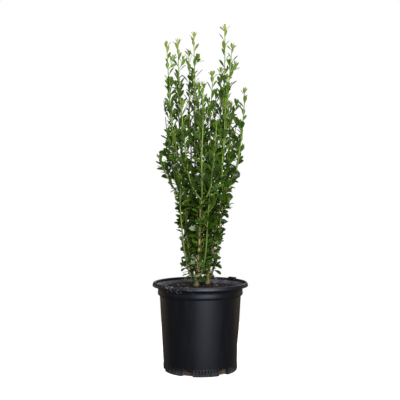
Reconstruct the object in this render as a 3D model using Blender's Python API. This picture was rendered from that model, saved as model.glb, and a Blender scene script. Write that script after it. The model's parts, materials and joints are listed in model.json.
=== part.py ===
"""A potted Japanese holly: a narrow, upright, many-stemmed shrub in a nursery pot.

Run it with ``blender --background --python part.py`` or from Blender's text editor.
Lengths are in metres with +Z up. The origin is on the ground under the middle of the
pot, +X is to the right and -Y is the front.

The pot is a thin moulded shell on six hollow feet. It is filled with potting mix, and
two woody stems stand on the mix. Boughs leave the stems, and each bough carries two or
three leafy shoots. A shoot is one mass of foliage: a stem, its side twigs and their
leaves, fused into one solid that keeps to the space nearest to its own stem.
"""

import math
import random
from dataclasses import dataclass

import bmesh
import bpy
import numpy as np
from mathutils import Matrix, Vector

MM = 0.001
CLEARANCE = 0.3 * MM  # between solids that touch
SEED = 41

# --- pot ----------------------------------------------------------------------------
POT_SEGMENTS = 32
WALL = 2.0 * MM
RIM_RADIUS = 118.0 * MM
RIM_TOP = 217.0 * MM
LIP_RADIUS = 4.0 * MM  # of the rolled bead
LIP_STEPS = 4
FLARE_TOP_RADIUS = 111.5 * MM
FLARE_TOP = 208.6 * MM
FLARE_FOOT_RADIUS = 104.4 * MM
FLARE_FOOT = 201.0 * MM
RING_RADIUS = 105.2 * MM  # the raised band under the flare
RING_MIDDLE = 196.0 * MM
RING_FOOT_RADIUS = 103.4 * MM
RING_FOOT = 188.0 * MM
BODY_TOP_RADIUS = 100.2 * MM
BODY_TOP = 185.6 * MM
BODY_FOOT_RADIUS = 90.7 * MM
SKIRT_HEIGHT = 18.0 * MM
SKIRT_RADIUS = 91.4 * MM
SKIRT_BEND = 5.0 * MM  # height at which the skirt starts to curve under
PAD_OUTER_RADIUS = 87.0 * MM
PAD_INNER_RADIUS = 74.0 * MM
FLOOR_UNDERSIDE = 7.0 * MM
FEET = 6
NOTCH_WIDTH = 29.0 * MM
NOTCH_HEIGHT = 16.5 * MM
NOTCH_FOOT = -10.0 * MM  # clear below the ground
FIRST_NOTCH = math.radians(-51.0)  # from +X towards +Y
DRAIN_WIDTH = 12.0 * MM
DRAIN_FOOT = 9.8 * MM
DRAIN_TOP = 15.6 * MM
DRAIN_DEPTHS = (-3.0 * MM, 6.0 * MM)  # its ends, from the inner side of the feet
TAB_SIZE = (9.0 * MM, 22.0 * MM, 8.0 * MM)  # radial, along the rim, up
TAB_ANGLE = math.radians(44.0)
TAB_TOP = 220.0 * MM

# --- potting mix --------------------------------------------------------------------
MIX_EDGE = 201.5 * MM
MIX_TOP = 208.6 * MM
MIX_FLAT_RADIUS = 44.0 * MM  # level ground that the stems stand on
MIX_SHELF = 19.4 * MM  # the mix bridges over the hollow feet

# --- wood ---------------------------------------------------------------------------
STEM_SIDES = 10
STEM_STEPS = 6
BOUGH_SIDES = 6
BOUGH_STEPS = 7
STEP_GROWTH = 1.4  # exponent that makes a limb's stretches shorter near its foot
SWAY_TURNS = (7.0, 5.0)  # how fast a limb wanders along X and Y, in radians over its length
FLARE_RISE = 7.0 * MM  # height over which the root flare fades
FOOT_OFFSET = 0.8  # how far out in its parent a limb starts, over the parent's radius

# --- foliage ------------------------------------------------------------------------
SHOOT_STEPS = 8
SHOOT_BARE = 16.0 * MM  # length without leaves at a shoot's foot
SHOOT_TUFT = 2  # small leaves at its tip
TWIG_SIDES = 3
TWIG_RADIUS = 1.2 * MM
TWIG_TIP_RADIUS = 0.8 * MM
TWIG_STEPS = 2
TWIG_BARE = 12.0 * MM
TWIG_TUFT = 1
TWIG_LENGTHS = (42.0 * MM, 66.0 * MM)
TWIG_FIRST = 24.0 * MM  # past the bare foot of the shoot
TWIG_LAST = 90.0 * MM  # below the shoot's tip
TWIG_GAPS = (70.0 * MM, 110.0 * MM)
TWIG_RETRY = 14.0 * MM
TWIG_SPREAD = 0.42  # how far out its tip stands, over its length
TWIG_RISE = 0.9  # how far along the shoot its tip stands, over its length
LEAF_SPACING = 18.6 * MM  # along a shoot
LEAF_RETRY = 3.5 * MM  # how much further up the next is tried after a skipped leaf
LEAF_LAST = 4.0 * MM  # below the shoot's tip
LEAF_SHARES = (1.0, 0.75)  # lengths that are tried in turn, over the full one
LEAF_OPENINGS = (66.0, 40.0)  # degrees from the shoot, near the ground and at the top
LEAF_ROLL = 0.5  # radians that it may be rolled about its own length
TIP_REACH = 45.0 * MM  # length below a tip in which leaves are smaller and stand closer
GOLDEN_ANGLE = math.radians(137.5)
LOW_LEAF = 40.0 * MM  # leaf length near the ground
HIGH_LEAF = 33.0 * MM  # leaf length at the top of the crown
TIP_LEAF = 17.0 * MM  # the small leaves round a growing tip
TIP_OPENINGS = (10.0, 22.0)  # degrees from the shoot
TUFT_FIRST = 1.0 * MM  # below the tip
TUFT_GAP = 3.5 * MM
TUFT_RISE = 13.0 * MM  # how far those leaves reach past the end of their shoot
LEAF_SLENDERNESS = 0.42  # width over length
LEAF_THICKNESS = 1.1 * MM
LEAF_WIDEST = 0.58  # where along its length a leaf is widest
LEAF_THICKEST = 0.34
LEAF_DROOP = 0.10  # how far the tip bends down, over the length
ROOT_DEPTH = 0.3  # how far past the middle of its twig a leaf starts, over the radius
LEAF_MIDDLE = 0.6  # the part of its length that counts as its middle
LEAF_APART = 10.0 * MM  # between the middles of two leaves of one mass
TUFT_APART = 2.5 * MM
CELL_MARGIN = 0.7 * MM  # from the border between two shoots' spaces
LIMB_MARGIN = 1.3 * MM
CROWN_REACH = 117.0 * MM  # foliage stays inside the rim's width
CROWN_FOOT = 213.0 * MM  # and above the mix
CROWN_MIDDLE = (4.0 * MM, 2.0 * MM)
CROWN_GIRTH = (  # height, and how far foliage may reach there from the crown's middle
    (211.0 * MM, 54.0 * MM),
    (270.0 * MM, 46.0 * MM),
    (300.0 * MM, 50.0 * MM),
    (325.0 * MM, 56.0 * MM),
    (350.0 * MM, 70.0 * MM),
    (425.0 * MM, 74.0 * MM),
    (450.0 * MM, 82.0 * MM),
    (475.0 * MM, 90.0 * MM),
    (500.0 * MM, 106.0 * MM),
    (520.0 * MM, 118.0 * MM),
    (540.0 * MM, 150.0 * MM),
)
CROWN_BASE = 215.0 * MM
CROWN_TOP = 855.0 * MM
AXIS_SAMPLE = 2.5 * MM


@dataclass(frozen=True)
class Limb:
    """A tapering limb that leaves its parent and rises to its tip.

    Attributes:
        name: The node's name.
        parent: The stem or bough that it grows from.
        foot: Height of its foot above the ground, in millimetres.
        azimuth: Direction in which it leaves its parent, in degrees from +X.
        shoulder: How far it swings out before it turns up, in millimetres.
        tip: Where it ends, in millimetres.
        radii: Radius at the foot and at the tip, in millimetres.
        turn: Rise in which the shoulder is reached, in millimetres.
        lean: Exponent of the rest of the way out; above 1 it leans out late.
        sway: Slow wander of the limb from its line, in millimetres.
    """

    name: str
    parent: str
    foot: float
    azimuth: float
    shoulder: float
    tip: tuple[float, float, float]
    radii: tuple[float, float]
    turn: float = 14.0
    lean: float = 1.0
    sway: float = 1.5


@dataclass(frozen=True)
class Stem:
    """A woody stem that stands on the potting mix.

    Attributes:
        name: The node's name.
        foot: Where it leaves the ground, in millimetres.
        tip: Where it forks, in millimetres.
        radii: Radius above the root flare and at the fork, in millimetres.
        root_flare: Extra radius at ground level, in millimetres.
    """

    name: str
    foot: tuple[float, float]
    tip: tuple[float, float, float]
    radii: tuple[float, float]
    root_flare: float


@dataclass(frozen=True)
class Leaf:
    """One leaf's place: its root, the way it points, its upper side and its length."""

    root: Vector
    along: Vector
    up: Vector
    length: float


@dataclass(frozen=True)
class Axis:
    """The centre line of a limb with the radius at each of its points."""

    points: list[Vector]
    radii: list[float]


STEMS = (
    Stem("stem_left", (-9.5, -16.0), (-8.0, -12.0, 262.0), (4.9, 4.2), 3.4),
    Stem("stem_right", (18.5, 18.0), (22.0, 19.0, 262.0), (4.0, 3.5), 2.8),
)

BOUGHS = (
    Limb("bough_left_outer", "stem_left", 230, 184, 11, (-40, -18, 452), (2.9, 2.1)),
    Limb("bough_left_inner", "stem_left", 252, 156, 6.5, (-19, 8, 485), (3.0, 2.1), lean=1.3),
    Limb("bough_centre", "stem_left", 248, -22, 6, (23, -8, 444), (3.0, 2.2), lean=1.9),
    Limb("bough_upright", "stem_left", 259, 54, 1.0, (3, 17, 470), (3.0, 2.1), lean=1.2),
    Limb("bough_front", "stem_left", 241, -88, 10, (4, -50, 430), (2.7, 2.0)),
    Limb("bough_back_left", "stem_left", 237, 100, 11, (-36, 48, 440), (2.7, 2.0), lean=0.8),
    Limb("bough_right_inner", "stem_right", 257, -10, 1, (43, 18, 405), (2.9, 2.1), lean=1.3),
    Limb("bough_right_outer", "stem_right", 245, -75, 10, (60, -14, 455), (2.8, 2.1), lean=1.2),
    Limb("bough_back_right", "stem_right", 238, 88, 10, (36, 62, 445), (2.7, 2.0)),
)

SHOOTS = (
    Limb("foliage_left_high", "bough_left_outer", 446, 215, 20, (-82, -30, 809), (2.0, 1.0)),
    Limb("foliage_left_edge", "bough_left_outer", 436, 150, 24, (-80, 12, 724), (2.0, 1.0)),
    Limb("foliage_left_low", "bough_left_outer", 420, 200, 38, (-102, -36, 536), (1.9, 1.0), turn=40),
    Limb("foliage_left_tall", "bough_left_inner", 474, 178, 22, (-55, 2, 820), (2.0, 1.0)),
    Limb("foliage_centre_tall", "bough_left_inner", 480, 20, 6, (-16, 8, 838), (2.0, 1.0)),
    Limb("foliage_centre_left", "bough_left_inner", 468, 100, 18, (-29, 36, 798), (2.0, 1.0)),
    Limb("foliage_right_tall", "bough_centre", 438, 8, 33, (60, -2, 855), (2.0, 1.0), turn=34),
    Limb("foliage_right_high", "bough_centre", 426, -46, 40, (77, -36, 803), (2.0, 1.0), turn=40),
    Limb("foliage_centre_front", "bough_centre", 434, 205, 20, (-4, -32, 712), (2.0, 1.0), turn=26),
    Limb("foliage_centre_right", "bough_upright", 456, -40, 20, (31, 2, 742), (2.0, 1.0), turn=24),
    Limb("foliage_centre_back", "bough_upright", 450, 34, 26, (40, 38, 702), (2.0, 1.0), turn=24),
    Limb("foliage_middle", "bough_upright", 464, 110, 18, (6, 44, 690), (2.0, 1.0), turn=22),
    Limb("foliage_right_middle", "bough_right_inner", 398, -2, 28, (76, 20, 668), (2.0, 1.0), turn=34),
    Limb("foliage_right_back", "bough_right_inner", 388, 66, 26, (68, 46, 740), (2.0, 1.0), turn=34),
    Limb("foliage_right_edge", "bough_right_outer", 448, 0, 36, (109, -12, 699), (2.0, 1.0), turn=46),
    Limb("foliage_right_low", "bough_right_outer", 436, -38, 38, (103, -44, 600), (1.9, 1.0), turn=40),
    Limb("foliage_right_front", "bough_right_outer", 430, -98, 34, (60, -62, 668), (2.0, 1.0), turn=36),
    Limb("foliage_front_left", "bough_front", 421, 196, 34, (-44, -76, 660), (2.0, 1.0), turn=36),
    Limb("foliage_front_middle", "bough_front", 426, -90, 26, (6, -92, 704), (2.0, 1.0), turn=30),
    Limb("foliage_front_right", "bough_front", 413, -12, 26, (38, -92, 610), (1.9, 1.0), turn=32),
    Limb("foliage_back_left_edge", "bough_back_left", 428, 204, 32, (-88, 48, 640), (2.0, 1.0), turn=36),
    Limb("foliage_back_left_high", "bough_back_left", 434, 110, 24, (-58, 74, 748), (2.0, 1.0), turn=26),
    Limb("foliage_back_middle_left", "bough_back_left", 421, 34, 28, (-14, 84, 690), (2.0, 1.0), turn=30),
    Limb("foliage_back_middle", "bough_back_right", 430, 130, 26, (20, 100, 652), (2.0, 1.0), turn=30),
    Limb("foliage_back_right_high", "bough_back_right", 438, 60, 22, (54, 82, 762), (2.0, 1.0), turn=26),
    Limb("foliage_back_right_edge", "bough_back_right", 426, 0, 36, (92, 66, 634), (2.0, 1.0), turn=36),
    Limb("foliage_base_left", "stem_left", 220, 205, 22, (-62, -44, 596), (2.2, 1.0), turn=24),
    Limb("foliage_base_front", "stem_left", 224, -50, 26, (30, -58, 560), (2.1, 1.0), turn=30),
    Limb("foliage_base_back_left", "stem_left", 219, 128, 26, (-60, 42, 560), (2.1, 1.0), turn=30),
    Limb("foliage_base_right", "stem_right", 222, -20, 14, (68, -36, 560), (2.2, 1.0), turn=28),
    Limb("foliage_base_back", "stem_right", 224, 110, 24, (14, 76, 545), (2.1, 1.0), turn=30),
)


def clear_scene() -> None:
    """Removes every object of the scene."""
    for thing in list(bpy.data.objects):
        bpy.data.objects.remove(thing, do_unlink=True)


def make_material(
    name: str, colour: tuple[float, float, float], roughness: float
) -> bpy.types.Material:
    """Makes a plain non-metallic material with a linear base colour."""
    material = bpy.data.materials.new(name)
    material.use_nodes = True
    shader = material.node_tree.nodes["Principled BSDF"]
    shader.inputs["Base Color"].default_value = (*colour, 1.0)
    shader.inputs["Roughness"].default_value = roughness
    shader.inputs["Metallic"].default_value = 0.0
    return material


def add_object(
    name: str, mesh: bpy.types.Mesh, material: bpy.types.Material | None = None
) -> bpy.types.Object:
    """Adds a mesh to the scene as an object."""
    thing = bpy.data.objects.new(name, mesh)
    bpy.context.scene.collection.objects.link(thing)
    if material is not None:
        mesh.materials.clear()
        mesh.materials.append(material)
    return thing


def mesh_from(name: str, vertices: list[Vector], faces: list[tuple[int, ...]]) -> bpy.types.Mesh:
    """Makes a mesh from its vertices and faces."""
    mesh = bpy.data.meshes.new(name)
    mesh.from_pydata([tuple(vertex) for vertex in vertices], [], faces)
    mesh.update()
    return mesh


def lathe(name: str, profile: list[tuple[float, float]]) -> bpy.types.Mesh:
    """Turns a profile of (radius, height) points about the Z axis.

    The profile starts and ends on the axis, so the turned body is closed.
    """
    shape = bmesh.new()
    vertices = [shape.verts.new((radius, 0.0, height)) for radius, height in profile]
    edges = [shape.edges.new(pair) for pair in zip(vertices, vertices[1:])]
    bmesh.ops.spin(
        shape,
        geom=vertices + edges,
        cent=(0.0, 0.0, 0.0),
        axis=(0.0, 0.0, 1.0),
        angle=2.0 * math.pi,
        steps=POT_SEGMENTS,
        use_merge=True,
    )
    bmesh.ops.remove_doubles(shape, verts=shape.verts, dist=0.001 * MM)
    bmesh.ops.recalc_face_normals(shape, faces=shape.faces)
    mesh = bpy.data.meshes.new(name)
    shape.to_mesh(mesh)
    shape.free()
    return mesh


def box(name: str, low: tuple[float, ...], high: tuple[float, ...], turn: float) -> bpy.types.Object:
    """Adds a box between two corners, turned about the Z axis."""
    shape = bmesh.new()
    bmesh.ops.create_cube(shape, size=1.0)
    size = Vector(high) - Vector(low)
    middle = (Vector(high) + Vector(low)) / 2.0
    place = Matrix.Rotation(turn, 4, "Z") @ Matrix.Translation(middle) @ Matrix.Diagonal((*size, 1.0))
    bmesh.ops.transform(shape, matrix=place, verts=shape.verts)
    mesh = bpy.data.meshes.new(name)
    shape.to_mesh(mesh)
    shape.free()
    return add_object(name, mesh)


def apply_modifiers(thing: bpy.types.Object) -> None:
    """Replaces an object's mesh with what its modifiers make of it."""
    bpy.context.view_layer.update()
    graph = bpy.context.evaluated_depsgraph_get()
    mesh = bpy.data.meshes.new_from_object(thing.evaluated_get(graph))
    old = thing.data
    thing.modifiers.clear()
    thing.data = mesh
    bpy.data.meshes.remove(old)


def combine(thing: bpy.types.Object, others: list[bpy.types.Object], operation: str) -> None:
    """Joins a collection of closed bodies to an object, or cuts them from it.

    Args:
        thing: The object that is changed.
        others: The bodies, which are removed afterwards.
        operation: "UNION" or "DIFFERENCE".
    """
    group = bpy.data.collections.new("pieces")
    bpy.context.scene.collection.children.link(group)
    for other in others:
        for owner in list(other.users_collection):
            owner.objects.unlink(other)
        group.objects.link(other)
    boolean = thing.modifiers.new(operation.lower(), "BOOLEAN")
    boolean.operation = operation
    boolean.solver = "EXACT"
    boolean.operand_type = "COLLECTION"
    boolean.collection = group
    apply_modifiers(thing)
    for other in others:
        bpy.data.meshes.remove(other.data)
    bpy.data.collections.remove(group)


def keep_largest_body(thing: bpy.types.Object) -> None:
    """Drops loose scraps and fills sealed hollows, by keeping the largest closed shell."""
    shape = bmesh.new()
    shape.from_mesh(thing.data)
    unseen = set(shape.faces)
    shells = []
    while unseen:
        shell = {unseen.pop()}
        border = list(shell)
        while border:
            face = border.pop()
            for edge in face.edges:
                for near in edge.link_faces:
                    if near in unseen:
                        unseen.discard(near)
                        shell.add(near)
                        border.append(near)
        shells.append(shell)
    shells.sort(key=lambda faces: sum(face.calc_area() for face in faces))
    for shell in shells[:-1]:
        bmesh.ops.delete(shape, geom=list(shell), context="FACES")
    shape.to_mesh(thing.data)
    shape.free()


# --- pot and potting mix --------------------------------------------------------------


def lip_arc() -> list[tuple[float, float]]:
    """Returns the rolled bead of the rim, from under its outer edge to its inner side."""
    centre = (RIM_RADIUS - LIP_RADIUS, RIM_TOP - LIP_RADIUS)
    start, end = math.radians(-60.0), math.radians(180.0)
    arc = []
    for step in range(LIP_STEPS + 1):
        angle = start + (end - start) * step / LIP_STEPS
        arc.append(
            (centre[0] + LIP_RADIUS * math.cos(angle), centre[1] + LIP_RADIUS * math.sin(angle))
        )
    return arc


def outer_profile() -> list[tuple[float, float]]:
    """Returns the pot's outside as a solid's profile, from the floor to the lip."""
    return [
        (0.0, FLOOR_UNDERSIDE),
        (PAD_INNER_RADIUS, FLOOR_UNDERSIDE),
        (PAD_INNER_RADIUS, 0.0),
        (PAD_OUTER_RADIUS, 0.0),
        (PAD_OUTER_RADIUS + 2.8 * MM, 1.4 * MM),
        (SKIRT_RADIUS - 0.4 * MM, SKIRT_BEND),
        (SKIRT_RADIUS, SKIRT_HEIGHT - 1.0 * MM),
        (BODY_FOOT_RADIUS, SKIRT_HEIGHT),
        (BODY_TOP_RADIUS, BODY_TOP),
        (RING_FOOT_RADIUS, RING_FOOT),
        (RING_RADIUS, RING_MIDDLE),
        (FLARE_FOOT_RADIUS, FLARE_FOOT),
        (FLARE_FOOT_RADIUS + 2.4 * MM, (FLARE_FOOT + FLARE_TOP) / 2.0),
        (FLARE_TOP_RADIUS, FLARE_TOP),
        *lip_arc(),
        (0.0, RIM_TOP - LIP_RADIUS),
    ]


def inner_profile(gap: float = 0.0) -> list[tuple[float, float]]:
    """Returns the pot's inside above its feet, drawn in by a gap."""
    return [
        (BODY_FOOT_RADIUS - WALL - gap, SKIRT_HEIGHT),
        (BODY_TOP_RADIUS - WALL - gap, BODY_TOP),
        (FLARE_FOOT_RADIUS - WALL - gap, FLARE_FOOT),
        (RIM_RADIUS - 2.0 * LIP_RADIUS + 0.4 * MM - gap, FLARE_TOP + 2.0 * MM),
    ]


def hollow_profile() -> list[tuple[float, float]]:
    """Returns the whole space inside the pot, with the ring of its hollow feet."""
    floor = FLOOR_UNDERSIDE + WALL
    above = RIM_TOP + 20.0 * MM
    wall = inner_profile()
    return [
        (0.0, floor),
        (PAD_INNER_RADIUS + WALL, floor),
        (PAD_INNER_RADIUS + WALL + 1.0 * MM, WALL),
        (PAD_OUTER_RADIUS - 1.0 * MM, WALL),
        (SKIRT_RADIUS - WALL - 0.8 * MM, SKIRT_BEND + 1.0 * MM),
        *wall,
        (wall[-1][0], above),
        (0.0, above),
    ]


def notch_boxes(extra: float) -> list[bpy.types.Object]:
    """Adds the boxes of the notches between the feet, larger all round by a margin."""
    boxes = []
    for index in range(FEET):
        turn = FIRST_NOTCH + index * 2.0 * math.pi / FEET
        half = NOTCH_WIDTH / 2.0 + extra
        low = (PAD_INNER_RADIUS + WALL - extra, -half, NOTCH_FOOT)
        high = (RIM_RADIUS, half, NOTCH_HEIGHT + extra)
        boxes.append(box("notch", low, high, turn))
    return boxes


def drain_boxes() -> list[bpy.types.Object]:
    """Adds the boxes of the drain holes behind the notches."""
    boxes = []
    for index in range(FEET):
        turn = FIRST_NOTCH + index * 2.0 * math.pi / FEET
        inner, outer = (PAD_INNER_RADIUS + depth for depth in DRAIN_DEPTHS)
        low = (inner, -DRAIN_WIDTH / 2.0, DRAIN_FOOT)
        high = (outer, DRAIN_WIDTH / 2.0, DRAIN_TOP)
        boxes.append(box("drain", low, high, turn))
    return boxes


def make_pot(material: bpy.types.Material) -> None:
    """Makes the moulded pot with its rolled lip, tab, hollow feet and drain holes."""
    pot = add_object("pot", lathe("pot", outer_profile()), material)
    combine(pot, notch_boxes(0.0), "DIFFERENCE")
    hollow = add_object("hollow", lathe("hollow", hollow_profile()))
    combine(hollow, notch_boxes(WALL), "DIFFERENCE")
    combine(pot, [hollow, *drain_boxes()], "DIFFERENCE")
    depth, width, height = TAB_SIZE
    middle = RIM_RADIUS - LIP_RADIUS
    tab = box(
        "tab",
        (middle - depth / 2.0, -width / 2.0, TAB_TOP - height),
        (middle + depth / 2.0, width / 2.0, TAB_TOP),
        TAB_ANGLE,
    )
    combine(pot, [tab], "UNION")
    keep_largest_body(pot)
    pot.data.shade_smooth()
    pot.data.set_sharp_from_angle(angle=math.radians(30.0))


def make_mix(material: bpy.types.Material) -> None:
    """Makes the potting mix, mounded to level ground in the middle."""
    gap = CLEARANCE + 0.05 * MM
    wall = inner_profile(gap)
    floor = FLOOR_UNDERSIDE + WALL + CLEARANCE
    throat = PAD_INNER_RADIUS - 0.6 * MM
    profile = [
        (0.0, floor),
        (throat, floor),
        (throat, MIX_SHELF),
        (wall[0][0], MIX_SHELF),
        *wall[1:3],
        (wall[2][0], MIX_EDGE),
        (MIX_FLAT_RADIUS, MIX_TOP),
        (0.0, MIX_TOP),
    ]
    add_object("potting_mix", lathe("potting_mix", profile), material)


# --- limbs ----------------------------------------------------------------------------


def limb_axis(limb: Limb, parent: Axis, steps: int, short: float = 0.0) -> Axis:
    """Works out a limb's centre line: out of its parent, round the shoulder and up.

    Args:
        limb: The limb.
        parent: The centre line of the limb that it grows from.
        steps: Number of stretches, which are shorter near the foot.
        short: How far the line stops below its tip, for the leaves that end it.

    Returns:
        The centre line with its radii.
    """
    azimuth = math.radians(limb.azimuth)
    outwards = Vector((math.cos(azimuth), math.sin(azimuth), 0.0))
    middle, thickness = point_at_height(parent, limb.foot * MM)
    foot = middle + outwards * thickness * FOOT_OFFSET
    tip = Vector(limb.tip) * MM
    tip.z -= short
    shoulder = outwards * limb.shoulder * MM
    rest = tip - foot - shoulder
    phase = math.radians(limb.azimuth * 3.0 + limb.foot)
    points, radii = [], []
    for step in range(steps + 1):
        part = (step / steps) ** STEP_GROWTH
        rise = part * (tip.z - foot.z)
        swing = 1.0 - math.exp(-rise / (limb.turn * MM))
        place = foot + shoulder * swing + rest * part**limb.lean
        wander = limb.sway * MM * math.sin(math.pi * part)
        place.x += wander * math.sin(phase + SWAY_TURNS[0] * part)
        place.y += wander * math.cos(phase + SWAY_TURNS[1] * part)
        place.z = foot.z + rise
        points.append(place)
        radii.append((limb.radii[0] + (limb.radii[1] - limb.radii[0]) * part) * MM)
    return Axis(points, radii)


def stem_axis(stem: Stem, steps: int) -> Axis:
    """Works out a stem's centre line with its root flare, from the level ground up."""
    foot = Vector((stem.foot[0] * MM, stem.foot[1] * MM, MIX_TOP + CLEARANCE))
    tip = Vector(stem.tip) * MM
    points, radii = [], []
    for step in range(steps + 1):
        part = (step / steps) ** STEP_GROWTH
        place = foot.lerp(tip, part)
        flare = stem.root_flare * MM * math.exp(-(place.z - foot.z) / FLARE_RISE)
        points.append(place)
        radii.append((stem.radii[0] + (stem.radii[1] - stem.radii[0]) * part) * MM + flare)
    return Axis(points, radii)


def point_at_height(axis: Axis, height: float) -> tuple[Vector, float]:
    """Returns the point of a rising centre line at a height, and the radius there."""
    for index, (low, high) in enumerate(zip(axis.points, axis.points[1:])):
        if high.z >= height:
            part = (height - low.z) / (high.z - low.z)
            radius = axis.radii[index] * (1.0 - part) + axis.radii[index + 1] * part
            return low.lerp(high, part), radius
    return axis.points[-1].copy(), axis.radii[-1]


def tube(name: str, axis: Axis, sides: int, level_ends: bool = False, extra: float = 0.0) -> bpy.types.Mesh:
    """Makes a closed tube round a centre line.

    Args:
        name: The mesh's name.
        axis: The centre line with its radii.
        sides: Number of sides.
        level_ends: Whether both ends are cut level instead of square to the line.
        extra: A margin that the tube is larger by, also past its ends.

    Returns:
        The mesh, made of triangles with flat end caps.
    """
    points = [point.copy() for point in axis.points]
    first = (points[1] - points[0]).normalized()
    last = (points[-1] - points[-2]).normalized()
    points[0] -= first * extra
    points[-1] += last * extra
    swell = extra / math.cos(math.pi / sides)
    vertices = []
    side = Vector((1.0, 0.0, 0.0))
    for index, point in enumerate(points):
        before, after = points[max(index - 1, 0)], points[min(index + 1, len(points) - 1)]
        along = (after - before).normalized()
        if level_ends and index in (0, len(points) - 1):
            along = Vector((0.0, 0.0, 1.0))
        side = (side - along * side.dot(along)).normalized()
        other = along.cross(side)
        radius = axis.radii[index] + swell
        for corner in range(sides):
            angle = 2.0 * math.pi * corner / sides
            vertices.append(point + (side * math.cos(angle) + other * math.sin(angle)) * radius)
    faces = [tuple(reversed(range(sides)))]
    for ring in range(len(points) - 1):
        for corner in range(sides):
            a = ring * sides + corner
            b = ring * sides + (corner + 1) % sides
            faces.append((a, b, b + sides))
            faces.append((a, b + sides, a + sides))
    start = (len(points) - 1) * sides
    faces.append(tuple(range(start, start + sides)))
    return mesh_from(name, vertices, faces)


def make_stem(stem: Stem, material: bpy.types.Material) -> Axis:
    """Makes a woody stem, cut flat at ground level, and returns its centre line."""
    axis = stem_axis(stem, STEM_STEPS)
    mesh = tube(stem.name, axis, STEM_SIDES, level_ends=True)
    add_object(stem.name, mesh, material)
    mesh.shade_smooth()
    mesh.set_sharp_from_angle(angle=math.radians(50.0))
    return axis


def make_bough(limb: Limb, axis: Axis, parent: Axis, material: bpy.types.Material) -> None:
    """Makes a bough, its foot cut to the side of the stem that carries it."""
    bough = add_object(limb.name, tube(limb.name, axis, BOUGH_SIDES), material)
    cutter = add_object("cutter", tube("cutter", parent, STEM_SIDES, extra=CLEARANCE))
    combine(bough, [cutter], "DIFFERENCE")
    keep_largest_body(bough)
    bough.data.shade_smooth()
    bough.data.set_sharp_from_angle(angle=math.radians(62.0))


# --- foliage --------------------------------------------------------------------------


class Spaces:
    """The crown shared out among its shoots: each has the space nearest to its stem."""

    def __init__(self, wood: dict[str, Axis], shoots: dict[str, Axis]) -> None:
        """Samples the centre lines of all limbs."""
        self.shoots = {name: self.sampled(axis) for name, axis in shoots.items()}
        self.wood = {name: self.sampled(axis) for name, axis in wood.items()}

    @staticmethod
    def sampled(axis: Axis) -> tuple[np.ndarray, np.ndarray]:
        """Returns points and radii a short step apart along a centre line."""
        places, radii = [], []
        for index in range(len(axis.points) - 1):
            low, high = axis.points[index], axis.points[index + 1]
            count = max(1, math.ceil((high - low).length / AXIS_SAMPLE))
            for step in range(count + 1):
                part = step / count
                places.append(tuple(low.lerp(high, part)))
                radii.append(axis.radii[index] * (1.0 - part) + axis.radii[index + 1] * part)
        return np.array(places), np.array(radii)

    @staticmethod
    def distance(points: np.ndarray, line: tuple[np.ndarray, np.ndarray]) -> np.ndarray:
        """Returns how far each point is from the nearest sample of a line."""
        offsets = points[:, None, :] - line[0][None, :, :]
        return np.sqrt((offsets**2).sum(axis=2)).min(axis=1)

    @staticmethod
    def depth(points: np.ndarray, line: tuple[np.ndarray, np.ndarray]) -> np.ndarray:
        """Returns how far each point is from a limb's surface."""
        offsets = points[:, None, :] - line[0][None, :, :]
        return (np.sqrt((offsets**2).sum(axis=2)) - line[1][None, :]).min(axis=1)

    def holds(self, name: str, places: list[Vector]) -> bool:
        """Tells whether points lie in a shoot's own space, clear of every other limb."""
        points = np.array([tuple(place) for place in places])
        if np.abs(points[:, :2]).max() > CROWN_REACH or points[:, 2].min() < CROWN_FOOT:
            return False
        heights, girths = zip(*CROWN_GIRTH)
        out = np.hypot(points[:, 0] - CROWN_MIDDLE[0], points[:, 1] - CROWN_MIDDLE[1])
        if (out > np.interp(points[:, 2], heights, girths)).any():
            return False
        own = self.distance(points, self.shoots[name])
        for other, line in self.shoots.items():
            if other == name:
                continue
            if (own + 2.0 * CELL_MARGIN > self.distance(points, line)).any():
                return False
            if (self.depth(points, line) < LIMB_MARGIN).any():
                return False
        return all((self.depth(points, line) > LIMB_MARGIN).all() for line in self.wood.values())


def leaf_corners(leaf: Leaf) -> list[Vector]:
    """Returns a leaf's root, tip, two edges, upper side and underside."""
    across = leaf.along.cross(leaf.up).normalized()
    half = leaf.length * LEAF_SLENDERNESS / 2.0
    droop = leaf.up * leaf.length * LEAF_DROOP
    widest = leaf.root + leaf.along * leaf.length * LEAF_WIDEST
    thickest = leaf.root + leaf.along * leaf.length * LEAF_THICKEST
    return [
        leaf.root,
        leaf.root + leaf.along * leaf.length - droop,
        widest + across * half,
        widest - across * half,
        thickest + leaf.up * LEAF_THICKNESS / 2.0,
        thickest - leaf.up * LEAF_THICKNESS / 2.0,
    ]


def leaf_mesh(leaf: Leaf) -> bpy.types.Mesh:
    """Makes a leaf as a closed body of eight faces, widest past its middle."""
    root, tip, left, right, top, under = range(6)
    faces = [
        (root, top, left),
        (root, right, top),
        (root, left, under),
        (root, under, right),
        (tip, left, top),
        (tip, top, right),
        (tip, under, left),
        (tip, right, under),
    ]
    return mesh_from("leaf", leaf_corners(leaf), faces)


def leaf_outline(leaf: Leaf) -> list[Vector]:
    """Returns points over a leaf's face, past the part that is sunk into its twig."""
    root, tip, left, right, top, under = leaf_corners(leaf)
    points = [tip, top, under, root.lerp(top, 0.6), root.lerp(under, 0.6)]
    for edge in (left, right):
        for line in (edge, edge.lerp(top, 0.5)):
            points.append(line)
            for part in (0.25, 0.5, 0.75):
                points += [root.lerp(line, part), tip.lerp(line, part)]
    for part in (0.25, 0.5, 0.75):
        points += [tip.lerp(top, part), tip.lerp(under, part)]
    return points


def twig_outline(twig: Axis) -> list[Vector]:
    """Returns points a short step apart along a twig, past its foot."""
    points = []
    for low, high in zip(twig.points, twig.points[1:]):
        points += [low.lerp(high, part) for part in (0.2, 0.4, 0.6, 0.8, 1.0)]
    return points


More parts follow.
